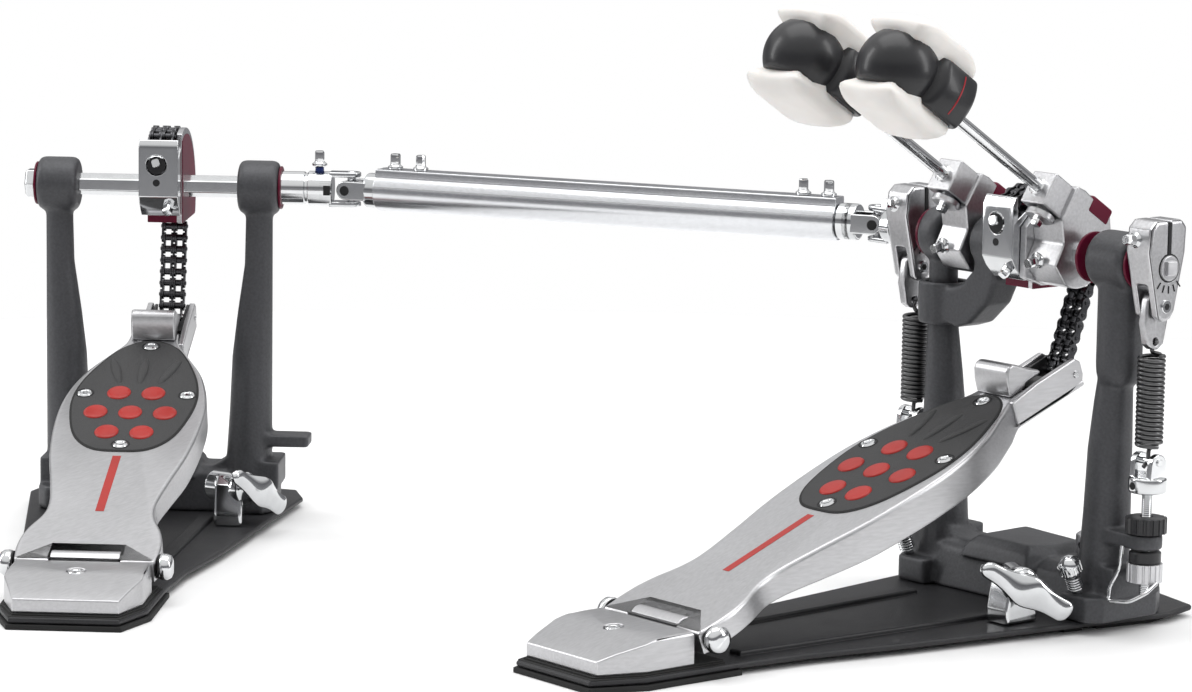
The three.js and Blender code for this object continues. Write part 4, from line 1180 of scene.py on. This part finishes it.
# ---------------------------------------------------------------- beaters
def build_hub(name, body):
    """The cast arm on the axle, with its plug and the split block that grips the rod."""
    x, half = HUB[name]
    hub = bmesh.new()
    arm = arc(0, 0, 17, 180, 300, 24)
    arm += [(19, -14), (26, -8), (28, 14), (27, 20), (8, 20), (-1, 12), (-13, 11)]
    prism(hub, arm, x - half, x + half, "x")
    make(f"{name}_beater_hub_look", hub, body, FINISH["satin"], LEANED, (f"{name}_beater_hub",), edge=1.0)
    head = bmesh.new()
    block(head, (x - 8, ROD_OFFSET - 8.5, 15), (x + 8, ROD_OFFSET + 8.5, 34))
    make(f"{name}_rod_block", head, body, FINISH["satin"], LEANED, edge=0.8)
    plug = bmesh.new()
    block(plug, (x + half - 6.5, 20, -8.5), (x + half + 0.3, 29.0, 8))
    make(f"{name}_hub_plug", plug, body, FINISH["wine"], LEANED, edge=1.6)
    collar = bmesh.new()
    lathe(collar, [(3.2, 33.5), (4.6, 33.8), (4.6, 35.4), (3.9, 36)], "z", (x, ROD_OFFSET, 0), 32)
    make(f"{name}_rod_collar", collar, body, FINISH["chrome"], LEANED)
    bolts = [turned_to(LEANED, (x, ROD_OFFSET - 9.4, ROD_BOLT), (0, -1, 0)),
             turned_to(ON_AXLE, (x - 1, -17.2, -3), (0.0, -1, -0.18), 18)]
    repeat(f"{name}_hub_bolts", key_bolt(), bolts, body, FINISH["chrome"])
    ear = bmesh.new()
    lathe(ear, [(6.2, -9.2), (7.2, -9.8), (7.2, -12.2), (6.4, -12.8)], "y", (x, 0, ROD_BOLT), 32)
    beside_rod = LEANED @ Matrix.Translation((0, ROD_OFFSET, 0))
    make(f"{name}_bolt_ear", ear, body, FINISH["satin"], beside_rod)


def build_beater(name, axle_body):
    """One hub with its rod, core and pad."""
    x = HUB[name][0]
    body = f"{name}_beater"
    build_hub(name, axle_body)
    rod = bmesh.new()
    lathe(rod, [(2.4, 3), (3.0, 3.6), (3.0, HEAD_REACH - 4)], "z", (x, ROD_OFFSET, 0), 32)
    make(f"{name}_beater_rod_look", rod, body, FINISH["chrome"], LEANED, (f"{name}_beater_rod",))
    head_place = LEANED @ Matrix.Translation((x, ROD_OFFSET, HEAD_REACH))
    build_core(name, body, head_place)
    build_pad(name, body, head_place)


def build_core(name, body, place):
    """A turned black core: a drum at the rod's end, a slight neck and a ball at the top."""
    radius, middle = 20, 7.4
    angles = [math.radians(angle) for angle in range(-20, 90, 5)]
    ball = [(radius * math.cos(t), middle + radius * math.sin(t)) for t in angles]
    profile = [(17, -25), (21.4, -24.8), (23.2, -24), (24, -22), (24, -4.4), (23.4, -2.4), (21.8, -0.8),
               (19.6, 0.0)] + ball + [(0.2, middle + radius)]
    bm = bmesh.new()
    lathe(bm, profile, sides=96)
    for vert in bm.verts:
        flat = 12.4 if vert.co.z < 0 else 13.3
        if abs(vert.co.y) > flat:
            vert.co.y = math.copysign(flat + (abs(vert.co.y) - flat) * 0.02, vert.co.y)
    make(f"{name}_beater_core_look", bm, body, FINISH["black"], place, (f"{name}_beater_core",), sharp=60)
    line = bmesh.new()
    for middle_turn in (0, 180):
        low, high = middle_turn - 25, middle_turn + 25
        prism(line, arc(0, 0, 24.15, low, high, 24) + arc(0, 0, 23.2, high, low, 24), -14.3, -13.5)
    make(f"{name}_beater_line", line, body, FINISH["line"], place)


def rounded_square(reach, corner, steps):
    """A square with round corners, whose straight sides are cut into steps."""
    flat = reach - corner
    step = 2 * flat / steps
    centre, onward = (flat, flat), (-1, 0)
    out = []
    for turn in range(4):
        out += arc(*centre, corner, turn * 90, turn * 90 + 90, 10)
        x, y = out[-1]
        out += [(x + onward[0] * step * i, y + onward[1] * step * i) for i in range(1, steps)]
        centre, onward = (-centre[1], centre[0]), (-onward[1], onward[0])
    return out


def build_pad(name, body, place):
    """The pale pad: two crowned striking faces whose sides are drawn in around the core."""
    half = 19.5
    side = rounded_square(25.3, 14.6, 6)
    edge = [(half, 0.2), (half, 0.4), (half, 0.6), (half, 0.8), (19.2, 0.90), (18, 0.955), (15.5, 0.985),
            (10, 1.0)]
    levels = [(-x, k) for x, k in edge] + [(0, 1.0)] + edge[::-1]
    loops = []
    for x, k in levels:
        crown = 1.0 - 0.09 * (x / half) ** 2
        loop = []
        for y, z in side:
            outward = smooth_step((abs(y * k) - 11) / 9)
            high = clamp((z * k - 4) / 14)
            top = 0.70 + 0.30 * outward if z > 0 else 1.0
            wide = 0.80 + 0.20 * outward - 0.15 * high * (1 - outward)
            loop.append(Vector((x * wide, y * k * crown, z * k * top)))
        loops.append(loop)
    bm = bmesh.new()
    skin(bm, loops)
    make(f"{name}_beater_pad_look", bm, body, FINISH["felt"], place, (f"{name}_beater_pad",), sharp=70)


def build_beaters():
    build_beater("main", "main_axle")
    build_beater("slave", "slave_axle")


# ---------------------------------------------------------------- spring sets
LINK_PIN = (-1.5, -18.4)


def build_rocker(name, body):
    """The rocker on the axle's end, with its bush, scale marks, link pin and key bolt."""
    x = ROCKER_X[name]
    finish_node(f"{name}_spring_rocker", body, FINISH["satin"], edge=0.9)
    # Painted shade: a near-black bore and slot filling the rocker's split round the bush, where shade falls.
    dark = bmesh.new()
    lathe(dark, [(7.0, x - 8.1), (7.0, x + 8.15)], "x", sides=40)
    block(dark, (x - 7, -1.0, 5), (x + 8.08, 1.0, 22))
    make(f"{name}_rocker_gap", dark, body, FINISH["dark"], ON_AXLE)
    bush = bmesh.new()
    lathe(bush, [(6.3, x - 8.4), (6.3, x + 8.5), (5.9, x + 8.8)], "x", sides=40)
    block(bush, (x + 8.4, -3.1, -3.4), (x + 10.6, 3.1, 3.4))
    make(f"{name}_rocker_bush", bush, body, FINISH["silver"], ON_AXLE, edge=0.4)
    tick = bmesh.new()
    block(tick, (-0.2, -0.28, -1.8), (0.2, 0.28, 1.8))
    below = Matrix.Translation((0, 0, -10.4))
    face = ON_AXLE @ Matrix.Translation((x + 8.1, 0, 0))
    ticks = [face @ Matrix.Rotation(math.radians(angle), 4, "X") @ below for angle in (-40, -20, 0, 20, 40)]
    repeat(f"{name}_rocker_ticks", tick, ticks, body, FINISH["dark"])
    pin = bmesh.new()
    drum(pin, 2.1, x - 8.2, x + 8.2, "x", (0, *LINK_PIN), 20, 0.3)
    make(f"{name}_rocker_pin", pin, body, FINISH["chrome"], ON_AXLE)
    places = [turned_to(ON_AXLE, (x + 7.9, *LINK_PIN), (1, 0, 0))]
    repeat(f"{name}_rocker_screw", socket_screw(3.2), places, body, FINISH["chrome"])
    # Painted shade on each screw's socket hole.
    repeat(f"{name}_rocker_socket", socket_shade(1.7), places, body, FINISH["dark"])
    bolt = [turned_to(ON_AXLE, (x - 2, -13, 13.5), (0, -1, 0.08), 20)]
    repeat(f"{name}_rocker_bolt", key_bolt(), bolt, body, FINISH["chrome"])


def build_hook(name, corners, bend, body):
    """One bent wire end of a return spring."""
    bm = bmesh.new()
    sweep(bm, rounded_path(corners, bend), bpy.context.scene.pedal_sizes.coil_wire, 12)
    make(name, bm, body, FINISH["spring"])


def build_spring(name):
    """A return spring that stretches between its two ends, with its hooks and its link."""
    sizes = bpy.context.scene.pedal_sizes
    x, y, (low, high) = SPRING_X[name], SPRING_Y, SPRING_Z
    wire = sizes.coil_wire
    lower, upper = f"{name}_spring_lower", f"{name}_spring_upper"
    foot = Matrix.Translation((x, y, low + wire))
    height = high - low - 2 * wire
    coil = wind(f"{name}_spring_coil", sizes.coil_turns, sizes.coil_radius, height, wire, foot,
                FINISH["spring"])
    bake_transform(coil)
    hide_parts(f"{name}_spring")
    link_x = ROCKER_X[name]
    over_link = high + 6.5
    top = [(x, y + sizes.coil_radius - 0.1, high - 1), (x, y, high + 0.6), ((x + link_x) / 2, y, high + 3),
           (link_x + 3.6, y, over_link), (link_x - 3.6, y, over_link), (link_x - 4.0, y, high + 3.4)]
    build_hook(f"{name}_spring_top_hook", top, 1.3, upper)
    bottom = [(x, y + sizes.coil_radius - 0.1, low + 1), (x, y, low - 0.6), (x, y, low - 6.6),
              (x, y - 3.2, low - 9.2)]
    build_hook(f"{name}_spring_low_hook", bottom, 1.5, lower)
    finish_node(f"{name}_spring_link", upper, FINISH["satin"], edge=0.6)


def thread(bm, radius, low, high, centre, pitch):
    """A threaded rod drawn as close rings."""
    rings = int((high - low) / pitch)
    profile = [(radius - 0.4, low)]
    for i in range(rings):
        z = low + i * pitch
        profile += [(radius - 0.35, z + pitch * 0.1), (radius, z + pitch * 0.4), (radius, z + pitch * 0.6),
                    (radius - 0.35, z + pitch * 0.9)]
    profile.append((radius - 0.4, high))
    lathe(bm, profile, "z", centre, 24)


CLEVIS_PIN = 87.5


def build_tension(name):
    """The threaded tension rod, and the clevis on top of it that holds the spring's foot."""
    x, y = SPRING_X[name], SPRING_Y
    centre = (x, y, 0)
    rod = bmesh.new()
    thread(rod, 2.6, SPRING_LUG[name] - 26, 73, centre, bpy.context.scene.pedal_sizes.thread_pitch)
    make(f"{name}_tension_thread", rod, "root", FINISH["chrome"], sharp=50)
    clevis = bmesh.new()
    collar = [(7.6, 72), (9.0, 72.5), (9.4, 73.8), (9.4, 78.6), (8.8, 79.8), (7.4, 80.4)]
    lathe(clevis, collar, "z", centre, 48)
    ear = arc(y, CLEVIS_PIN - 1, 5, 0, 180, 16) + [(y - 5.6, 79), (y + 5.6, 79)]
    for side in (-5.6, 5.6):
        prism(clevis, ear, x + side - 1.7, x + side + 1.7, "x")
    make(f"{name}_clevis", clevis, "root", FINISH["chrome"], stands_for=(f"{name}_tension_rod",), edge=0.5)
    pin = bmesh.new()
    drum(pin, 1.8, x - 8.2, x + 8.2, "x", (0, y, CLEVIS_PIN), 20, 0.3)
    make(f"{name}_clevis_pin", pin, "root", FINISH["chrome"])
    # Painted shade: a screw head drawn near-black stands for the shade in the clevis's screw hole.
    hole = [turned_to(HERE, (x - 1, y - 8.6, 76), (0, -1, 0))]
    repeat(f"{name}_clevis_screw", socket_screw(1.9), hole, "root", FINISH["dark"])


def knurled_nut(name, x, low, high, radius, body, finish, stands_for=()):
    """A nut on a tension rod with ribs around it."""
    centre = (x, SPRING_Y, 0)
    face, bore = radius - 0.5, 3.2
    nut = bmesh.new()
    profile = [(radius - 2, low), (face, low + 0.5), (face, high - 0.5), (radius - 2, high), (bore, high),
               (bore, low)]
    lathe(nut, profile, "z", centre, 48, wrap=True)
    make(f"{name}_body", nut, body, finish, stands_for=stands_for)
    ribs = bpy.context.scene.pedal_sizes.knurls
    spots = around(HERE, centre, radius - 0.7, ribs, (low + high) / 2)
    repeat(f"{name}_ribs", rib_item(high - low - 1.0, 0.75, 1.2), spots, body, finish)


def build_wire_clip(x, y):
    """The bent wire that keeps the lock nut from turning."""
    bm = bmesh.new()
    corners = [(x - 6, y - 9.6, 46), (x - 6.6, y - 11, 34), (x - 9.5, y - 14, 26), (x - 9, y - 15.5, 19),
               (x + 4, y - 14, 20.5), (x + 10, y - 9, 25), (x + 10, y - 2, 29)]
    sweep(bm, rounded_path(corners, 2.4), 0.9, 10)
    make("main_wire_clip", bm, "root", FINISH["chrome"])


def build_springs():
    for name, body in (("main", "main_axle"), ("slave", "slave_axle")):
        build_rocker(name, body)
        build_spring(name)
        build_tension(name)
    x = SPRING_X["main"]
    nut, lock = "main_tension_nut", "main_lock_nut"
    knurled_nut(nut, x, 52, 60.5, 10, nut, FINISH["black"], (nut,))
    sleeve = bmesh.new()
    drum(sleeve, 7.8, 37.8, 43.4, "z", (x, SPRING_Y, 0), 40, 0.6)
    make("main_lock_sleeve", sleeve, lock, FINISH["black"])
    knurled_nut(lock, x, 28, 38, 8.6, lock, FINISH["silver"], (lock,))
    knurled_nut("slave_tension_nut", SPRING_X["slave"], 52.5, 61.5, 8.4, "root", FINISH["black"])
    build_wire_clip(x, SPRING_Y)


# ---------------------------------------------------------------- drive shaft and joints
EAR = {"inner": 6.6, "outer": 9.4, "tip": 5.0, "root": 12.0}
TUBE_START = 17
TUBE_GAP = 21
CENTRE = (0, 0, 0)


def fork_parts(pin_axis, way):
    """Two ears and their root disc, opening along X at the origin."""
    bm = bmesh.new()
    tip, root = EAR["tip"], EAR["root"]
    ear = [(way * a, b) for a, b in arc(0, 0, tip, -90, 90, 20) + [(-root, tip), (-root, -tip)]]
    for sign in (-1, 1):
        low, high = sorted((sign * EAR["inner"], sign * EAR["outer"]))
        prism(bm, ear, low, high, pin_axis)
    near, far = sorted((-way * (root - 2.0), -way * (root + 6)))
    drum(bm, 9.4, near, far, "x", CENTRE, 48, 0.6)
    return bm


def joint_cross(name, body, place):
    """The heart of a universal joint with its long upright pin and its short level one."""
    heart = bmesh.new()
    block(heart, (-4.4, -4.4, -4.4), (4.4, 4.4, 4.4))
    make(f"{name}_heart", heart, body, FINISH["silver"], place, (name,), edge=0.8)
    pins = bmesh.new()
    drum(pins, 2.4, -9.7, 9.7, "z", CENTRE, 28, 0.4)
    drum(pins, 2.3, -5.2, 5.2, "y", CENTRE, 28, 0.2)
    make(f"{name}_trunnion", pins, body, FINISH["chrome"], place)


def trunnion_caps(name, body, place):
    """The dark ends of the pins that show in a fork's ears."""
    bm = bmesh.new()
    for sign in (-1, 1):
        low, high = sorted((sign * 6.8, sign * 9.8))
        drum(bm, 2.7, low, high, "y", CENTRE, 28, 0.3)
    make(name, bm, body, FINISH["dark"], place)


def build_tube():
    """The outer tube with its flat ridge, grey strips painted on as shade lines, fork and key bolts."""
    end = SPAN - TUBE_GAP
    tube = bmesh.new()
    ridge = [(6.8, 10.6), (6.4, 12.3), (-6.4, 12.3), (-6.8, 10.6)]
    prism(tube, arc(0, 0, TUBE_RADIUS, -230, 50, 48) + ridge, TUBE_START, end, "x")
    make("drive_tube_look", tube, "drive_tube", FINISH["tube"], SHAFT, ("drive_tube",), edge=0.5)
    lines = bmesh.new()
    # Painted shade: thin grey strips along the ridge and the side stand for lines of shade on the bright
    # tube.
    for y in (-3.4, 3.4):
        block(lines, (TUBE_START + 0.2, y - 0.3, 12.2), (end - 0.2, y + 0.3, 12.4))
    block(lines, (TUBE_START + 0.4, -TUBE_RADIUS - 0.12, 3.0), (end - 0.4, -TUBE_RADIUS + 0.6, 3.5))
    make("drive_tube_lines", lines, "drive_tube", FINISH["silver"], SHAFT)
    make("drive_tube_fork", fork_parts("y", -1), "drive_tube", FINISH["chrome"], SHAFT, edge=0.7)
    trunnion_caps("drive_tube_trunnions", "drive_tube", SHAFT)


def build_inner_rod(right_end):
    """The inner rod that slides in the tube, with its collar and fork."""
    rod = bmesh.new()
    drum(rod, 9.4, SPAN - 20.6, SPAN - 13, "x", CENTRE, 48, 0.6)
    drum(rod, 7.2, SPAN - 110, SPAN - 20, "x", CENTRE, 40, 0.6)
    make("drive_inner_rod_look", rod, "drive_inner_rod", FINISH["chrome"], SHAFT, ("drive_inner_rod",))
    make("drive_rod_fork", fork_parts("y", 1), "drive_inner_rod", FINISH["chrome"], right_end, edge=0.7)
    trunnion_caps("drive_rod_trunnions", "drive_inner_rod", right_end)


def build_drive_shaft():
    right_end = SHAFT @ Matrix.Translation((SPAN, 0, 0))
    build_tube()
    build_inner_rod(right_end)
    spots = (26, 41, SPAN - 41, SPAN - 27)
    bolts = [turned_to(SHAFT, (spot, 0, 13.4), (0, 0, 1), 12 * i) for i, spot in enumerate(spots)]
    repeat("drive_tube_bolts", key_bolt(), bolts, "drive_tube", FINISH["chrome"])
    joint_cross("left_joint_cross", "left_axle", SHAFT)
    joint_cross("right_joint_cross", "slave_axle", right_end)
    build_left_yoke()
    build_slave_shaft()


def build_left_yoke():
    """The collar and fork that carry the left axle into the drive shaft, with their key bolt."""
    place, body = LEFT @ ON_AXLE, "left_axle"
    bolt_x = 88.5
    hub = bmesh.new()
    drum(hub, 9.0, 67.8, 81.2, "x", CENTRE, 56, 0.7)
    drum(hub, 8.3, 81, 82.6, "x", CENTRE, 48, 0.1)
    drum(hub, 9.4, 82.4, 95, "x", CENTRE, 56, 0.7)
    make("left_yoke_look", hub, body, FINISH["chrome"], place, ("left_yoke",))
    at_joint = place @ Matrix.Translation((LEFT_JOINT_X, 0, 0))
    make("left_yoke_fork", fork_parts("z", 1), body, FINISH["chrome"], at_joint, edge=0.7)
    # Painted shade: a thin near-black patch on the collar where its window falls into shade.
    window = bmesh.new()
    block(window, (91.5, -9.6, -2.6), (95.2, -9.2, 2.6))
    make("left_yoke_window", window, body, FINISH["dark"], place)
    bolt = [turned_to(place, (bolt_x, 0, 13.2), (0, 0, 1), 15)]
    repeat("left_yoke_bolt", key_bolt(), bolt, body, FINISH["chrome"])
    patch = bmesh.new()
    thread(patch, 2.5, 9.2, 11.6, (bolt_x, 0, 0), 0.8)
    make("left_yoke_bolt_patch", patch, body, FINISH["blue"], place)


def build_slave_shaft():
    """The hexagonal shaft that carries the second beater, with its fork."""
    shaft = bmesh.new()
    hexagon(shaft, MAIN_JOINT_X + 12, -11)
    make("slave_shaft_look", shaft, "slave_axle", FINISH["chrome"], ON_AXLE, ("slave_shaft",), edge=0.5)
    place = ON_AXLE @ Matrix.Translation((MAIN_JOINT_X, 0, 0))
    make("slave_shaft_fork", fork_parts("z", -1), "slave_axle", FINISH["chrome"], place, edge=0.7)


# ---------------------------------------------------------------- clamps, spurs and knobs
def build_wing(side):
    """The polished wing: a swollen middle with two arms that taper and bow away from the block."""
    bm = bmesh.new()
    reach, steps, sides = 25.5, 40, 24
    round_points = circle(1, sides)
    loops = []
    for i in range(steps + 1):
        t = -1 + 2 * i / steps
        tip = math.sqrt(max(0.0, 1 - max(0.0, (abs(t) - 0.80) / 0.20) ** 2))
        swell = math.exp(-((t / 0.36) ** 2))
        half = max(0.15, (5.0 + 3.4 * swell + 0.8 * t) * tip)
        near = 13.2 + 1.2 * swell
        thick = max(0.2, (3.3 + 1.3 * swell) * (0.35 + 0.65 * tip))
        loop = []
        for a, b in round_points:
            bulge = 0.62 if b > 0 else 0.45
            loop.append(Vector((near + thick * (0.62 + bulge * b), t * reach, 4 * t + half * a)))
        loops.append(loop)
    skin(bm, loops)
    lathe(bm, [(8.6, 0.2), (9.3, 0.8), (9.3, 6.4), (8.4, 7.2), (6.2, 8.4), (5.6, 13.5)], "x", sides=40)
    bm.transform(Matrix.Rotation(math.radians(WING_TILT), 4, "X"))
    place = PEDAL[side] @ Matrix.Translation(CLAMP) @ Matrix.Rotation(math.radians(WING_SWING), 4, "Z")
    name = f"{side}_wing_screw"
    make(f"{name}_look", bm, name, FINISH["chrome"], place, (name,), sharp=60)


def build_spur(body, x, y):
    """A leaning spur: a pointed screw with a knurled knob and a small spring under it."""
    place = Matrix.Translation((x, y, SPUR_HEIGHT)) @ Matrix.Rotation(math.radians(SPUR_LEAN), 4, "X")
    bm = bmesh.new()
    lathe(bm, [(0.15, -16.4), (1.6, -11), (2.6, -9), (2.6, 14)], "z", sides=28)
    knob = [(3.2, 13.6), (5.0, 14.6), (5.5, 16.2), (5.5, 19.4), (5.0, 21.4), (3.4, 23.4), (1.2, 24.3),
            (0.2, 24.4)]
    lathe(bm, knob, "z", sides=36)
    make(f"{body}_look", bm, body, FINISH["chrome"], place, (body,), sharp=50)
    spots = around(place, CENTRE, 5.2, bpy.context.scene.pedal_sizes.knurls, 17.8)
    repeat(f"{body}_knurl", rib_item(4.0, 0.7), spots, body, FINISH["chrome"])
    under_knob = place @ Matrix.Translation((0, 0, 6.6))
    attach(wind(f"{body}_coil", 5, 3.6, 7.0, 0.55, under_knob, FINISH["chrome"]), body)


def build_height_knob(x, y):
    """The ribbed knob that sets the height of the hoop clamp, with a near-black rod through it painted as
    the shade in its hole.
    """
    low, high, radius = 30.8, 42, 9.0
    middle = (low + high) / 2
    body = "hoop_height_knob"
    knob = bmesh.new()
    profile = [(radius - 1, low), (radius, low + 0.8), (radius, high - 0.8), (radius - 1, high), (5.4, high),
               (5.0, high - 0.9)]
    lathe(knob, profile, "z", (x, y, 0), 48)
    make("hoop_knob_look", knob, body, FINISH["silver"], stands_for=(body,))
    spots = around(HERE, (x, y, 0), radius - 0.1, 36, middle)
    repeat("hoop_knob_ribs", rib_item(high - low - 2.4, 0.6), spots, body, FINISH["silver"])
    # Painted shade: the dark rod shows as near-black discs where the hole passes through the knob.
    eye = bmesh.new()
    drum(eye, 2.0, -radius - 0.7, radius + 0.7, "y", CENTRE, 20, 0.1)
    make("hoop_knob_hole", eye, body, FINISH["dark"], Matrix.Translation((x, y, middle)))


def build_hardware():
    for side, body in GROUND_BODY.items():
        finish_node(f"{side}_clamp_block", body, FINISH["chrome"], edge=0.7)
        build_wing(side)
    for name, (x, y) in SPUR_SPOTS.items():
        build_spur(f"main_{name}_spur", x, y)
    build_height_knob(40, 245)


# ---------------------------------------------------------------- stage
CAMERA_SPOT = (1.5501, -1.3048, 0.4607)
CAMERA_AZIMUTH = 50.85
CAMERA_ELEVATION = 8.70
CAMERA_ROLL = 0.81
CAMERA_LENS = 133.45
FLOOR_RADIUS = 1000
FLOOR_TOP = -0.05
FLOOR_THICK = 1.0


def area_light(name, spot, aim, size, power):
    light = bpy.data.lights.new(name, "AREA")
    light.shape = "RECTANGLE"
    light.size, light.size_y = size
    light.energy = power
    lamp = bpy.data.objects.new(name, light)
    lamp.location = spot
    lamp.rotation_euler = (Vector(aim) - Vector(spot)).to_track_quat("-Z", "Y").to_euler()
    bpy.context.scene.collection.objects.link(lamp)


def build_studio_world():
    """A white backdrop whose light falls off towards the horizon, so polished metal shows its form."""
    world = bpy.data.worlds.new("Studio")
    world.use_nodes = True
    nodes = world.node_tree.nodes
    nodes.clear()
    link = world.node_tree.links.new
    around_us = nodes.new("ShaderNodeTexCoord")
    around_us.label = "Direction in the studio"
    around_us.location = (-900, 0)
    height = nodes.new("ShaderNodeSeparateXYZ")
    height.label = "Height of the direction"
    height.location = (-700, 0)
    falloff = nodes.new("ShaderNodeValToRGB")
    falloff.label = "Dim horizon, bright ceiling"
    falloff.location = (-500, 0)
    falloff.color_ramp.elements[0].position = 0.0
    falloff.color_ramp.elements[0].color = (0.30, 0.30, 0.31, 1)
    falloff.color_ramp.elements[1].position = 0.9
    falloff.color_ramp.elements[1].color = (1, 1, 1, 1)
    middle_stop = falloff.color_ramp.elements.new(0.22)
    middle_stop.color = (0.16, 0.16, 0.17, 1)
    bright_stop = falloff.color_ramp.elements.new(0.42)
    bright_stop.color = (0.85, 0.85, 0.85, 1)
    seen = nodes.new("ShaderNodeLightPath")
    seen.label = "Seen straight by the camera"
    seen.location = (-500, 350)
    backdrop = nodes.new("ShaderNodeMix")
    backdrop.label = "White backdrop"
    backdrop.location = (-200, 0)
    backdrop.data_type = "RGBA"
    backdrop.inputs["B"].default_value = (1, 1, 1, 1)
    light = nodes.new("ShaderNodeBackground")
    light.label = "Studio light"
    light.location = (0, 0)
    light.inputs["Strength"].default_value = 1.0
    output = nodes.new("ShaderNodeOutputWorld")
    output.location = (200, 0)
    link(around_us.outputs["Generated"], height.inputs["Vector"])
    link(height.outputs["Z"], falloff.inputs["Fac"])
    link(seen.outputs["Is Camera Ray"], backdrop.inputs["Factor"])
    link(falloff.outputs["Color"], backdrop.inputs["A"])
    link(backdrop.outputs["Result"], light.inputs["Color"])
    link(light.outputs["Background"], output.inputs["Surface"])
    bpy.context.scene.world = world


def build_stage():
    bm = bmesh.new()
    drum(bm, FLOOR_RADIUS, FLOOR_TOP - FLOOR_THICK, FLOOR_TOP, "z", (-150, 50, 0), 96, 0.4)
    bm.transform(Matrix.Scale(MM, 4))
    mesh = bpy.data.meshes.new("floor")
    bm.to_mesh(mesh)
    bm.free()
    mesh.materials.append(FINISH["floor"])
    floor = bpy.data.objects.new("floor", mesh)
    bpy.context.scene.collection.objects.link(floor)
    build_studio_world()
    middle = (-0.15, 0.05, 0.12)
    area_light("Top softbox", (-0.2, 0.1, 1.6), middle, (1.6, 1.2), 14)
    area_light("Left strip", (-1.5, -1.1, 0.9), middle, (0.4, 1.6), 12)
    area_light("Right strip", (1.2, 1.1, 0.8), middle, (0.4, 1.4), 10)
    camera_data = bpy.data.cameras.new("Camera")
    camera_data.lens = CAMERA_LENS
    camera_data.sensor_width = 36.0
    camera_data.clip_end = 100
    camera = bpy.data.objects.new("Camera", camera_data)
    turn = Matrix.Rotation(math.radians(CAMERA_AZIMUTH), 4, "Z")
    tip = Matrix.Rotation(math.radians(90 - CAMERA_ELEVATION), 4, "X")
    roll = Matrix.Rotation(math.radians(CAMERA_ROLL), 4, "Z")
    camera.matrix_world = Matrix.Translation(CAMERA_SPOT) @ turn @ tip @ roll
    bpy.context.scene.collection.objects.link(camera)
    bpy.context.scene.camera = camera
    bpy.context.scene.view_settings.view_transform = "Standard"


# ---------------------------------------------------------------- operators, panel and registration
def run(build):
    build()
    return {"FINISHED"}


class PEDAL_OT_finishes(bpy.types.Operator):
    """Make the materials of every finish"""
    bl_idname = "pedal.finishes"
    bl_label = "Finishes"

    def execute(self, context):
        return run(build_finishes)


class PEDAL_OT_floor_parts(bpy.types.Operator):
    """Make base plates, mats, heel plates and hinge pins"""
    bl_idname = "pedal.floor_parts"
    bl_label = "Floor parts"

    def execute(self, context):
        return run(build_floor_parts)


class PEDAL_OT_castings(bpy.types.Operator):
    """Make the two post frames, the outrigger arm and the bearing rings"""
    bl_idname = "pedal.castings"
    bl_label = "Castings"

    def execute(self, context):
        return run(build_castings)


class PEDAL_OT_treadles(bpy.types.Operator):
    """Make both footboards with their grip sheets, dots, screws and toe stops"""
    bl_idname = "pedal.treadles"
    bl_label = "Treadles"

    def execute(self, context):
        return run(build_treadles)


class PEDAL_OT_cams(bpy.types.Operator):
    """Make the hexagonal axles and the cams"""
    bl_idname = "pedal.cams"
    bl_label = "Axles and cams"

    def execute(self, context):
        return run(build_cams)


class PEDAL_OT_chains(bpy.types.Operator):
    """Make the chains link by link"""
    bl_idname = "pedal.chains"
    bl_label = "Chains"

    def execute(self, context):
        return run(build_chains)


class PEDAL_OT_beaters(bpy.types.Operator):
    """Make the beater hubs, rods and heads"""
    bl_idname = "pedal.beaters"
    bl_label = "Beaters"

    def execute(self, context):
        return run(build_beaters)


class PEDAL_OT_springs(bpy.types.Operator):
    """Make the rockers, springs and tension sets"""
    bl_idname = "pedal.springs"
    bl_label = "Springs"

    def execute(self, context):
        return run(build_springs)


class PEDAL_OT_drive_shaft(bpy.types.Operator):
    """Make the telescopic shaft and its universal joints"""
    bl_idname = "pedal.drive_shaft"
    bl_label = "Drive shaft"

    def execute(self, context):
        return run(build_drive_shaft)


class PEDAL_OT_hardware(bpy.types.Operator):
    """Make the clamps, wing screws, spurs and knobs"""
    bl_idname = "pedal.hardware"
    bl_label = "Clamps, spurs and knobs"

    def execute(self, context):
        return run(build_hardware)


class PEDAL_OT_stage(bpy.types.Operator):
    """Make the floor, the lights and the camera"""
    bl_idname = "pedal.stage"
    bl_label = "Stage"

    def execute(self, context):
        return run(build_stage)


STEPS = (
    PEDAL_OT_finishes, PEDAL_OT_stage, PEDAL_OT_floor_parts, PEDAL_OT_castings, PEDAL_OT_treadles,
    PEDAL_OT_cams, PEDAL_OT_chains, PEDAL_OT_beaters, PEDAL_OT_springs, PEDAL_OT_drive_shaft,
    PEDAL_OT_hardware,
)


class PEDAL_PT_sidebar(bpy.types.Panel):
    """Lists the pieces and the sizes and colours they use"""
    bl_idname = "PEDAL_PT_sidebar"
    bl_label = "Drum Pedal"
    bl_space_type = "VIEW_3D"
    bl_region_type = "UI"
    bl_category = "Drum Pedal"

    def draw(self, context):
        layout = self.layout
        for settings in (context.scene.pedal_sizes, context.scene.pedal_colours):
            for name in settings.__annotations__:
                layout.prop(settings, name)
        for step in STEPS:
            layout.operator(step.bl_idname)


CLASSES = (PedalSizes, PedalColours) + STEPS + (PEDAL_PT_sidebar,)


def register():
    for cls in CLASSES:
        bpy.utils.register_class(cls)
    bpy.types.Scene.pedal_sizes = bpy.props.PointerProperty(type=PedalSizes)
    bpy.types.Scene.pedal_colours = bpy.props.PointerProperty(type=PedalColours)


def unregister():
    del bpy.types.Scene.pedal_colours
    del bpy.types.Scene.pedal_sizes
    for cls in reversed(CLASSES):
        bpy.utils.unregister_class(cls)


def main():
    register()
    for step in STEPS:
        group, name = step.bl_idname.split(".")
        getattr(getattr(bpy.ops, group), name)()


if __name__ == "__main__":
    main()
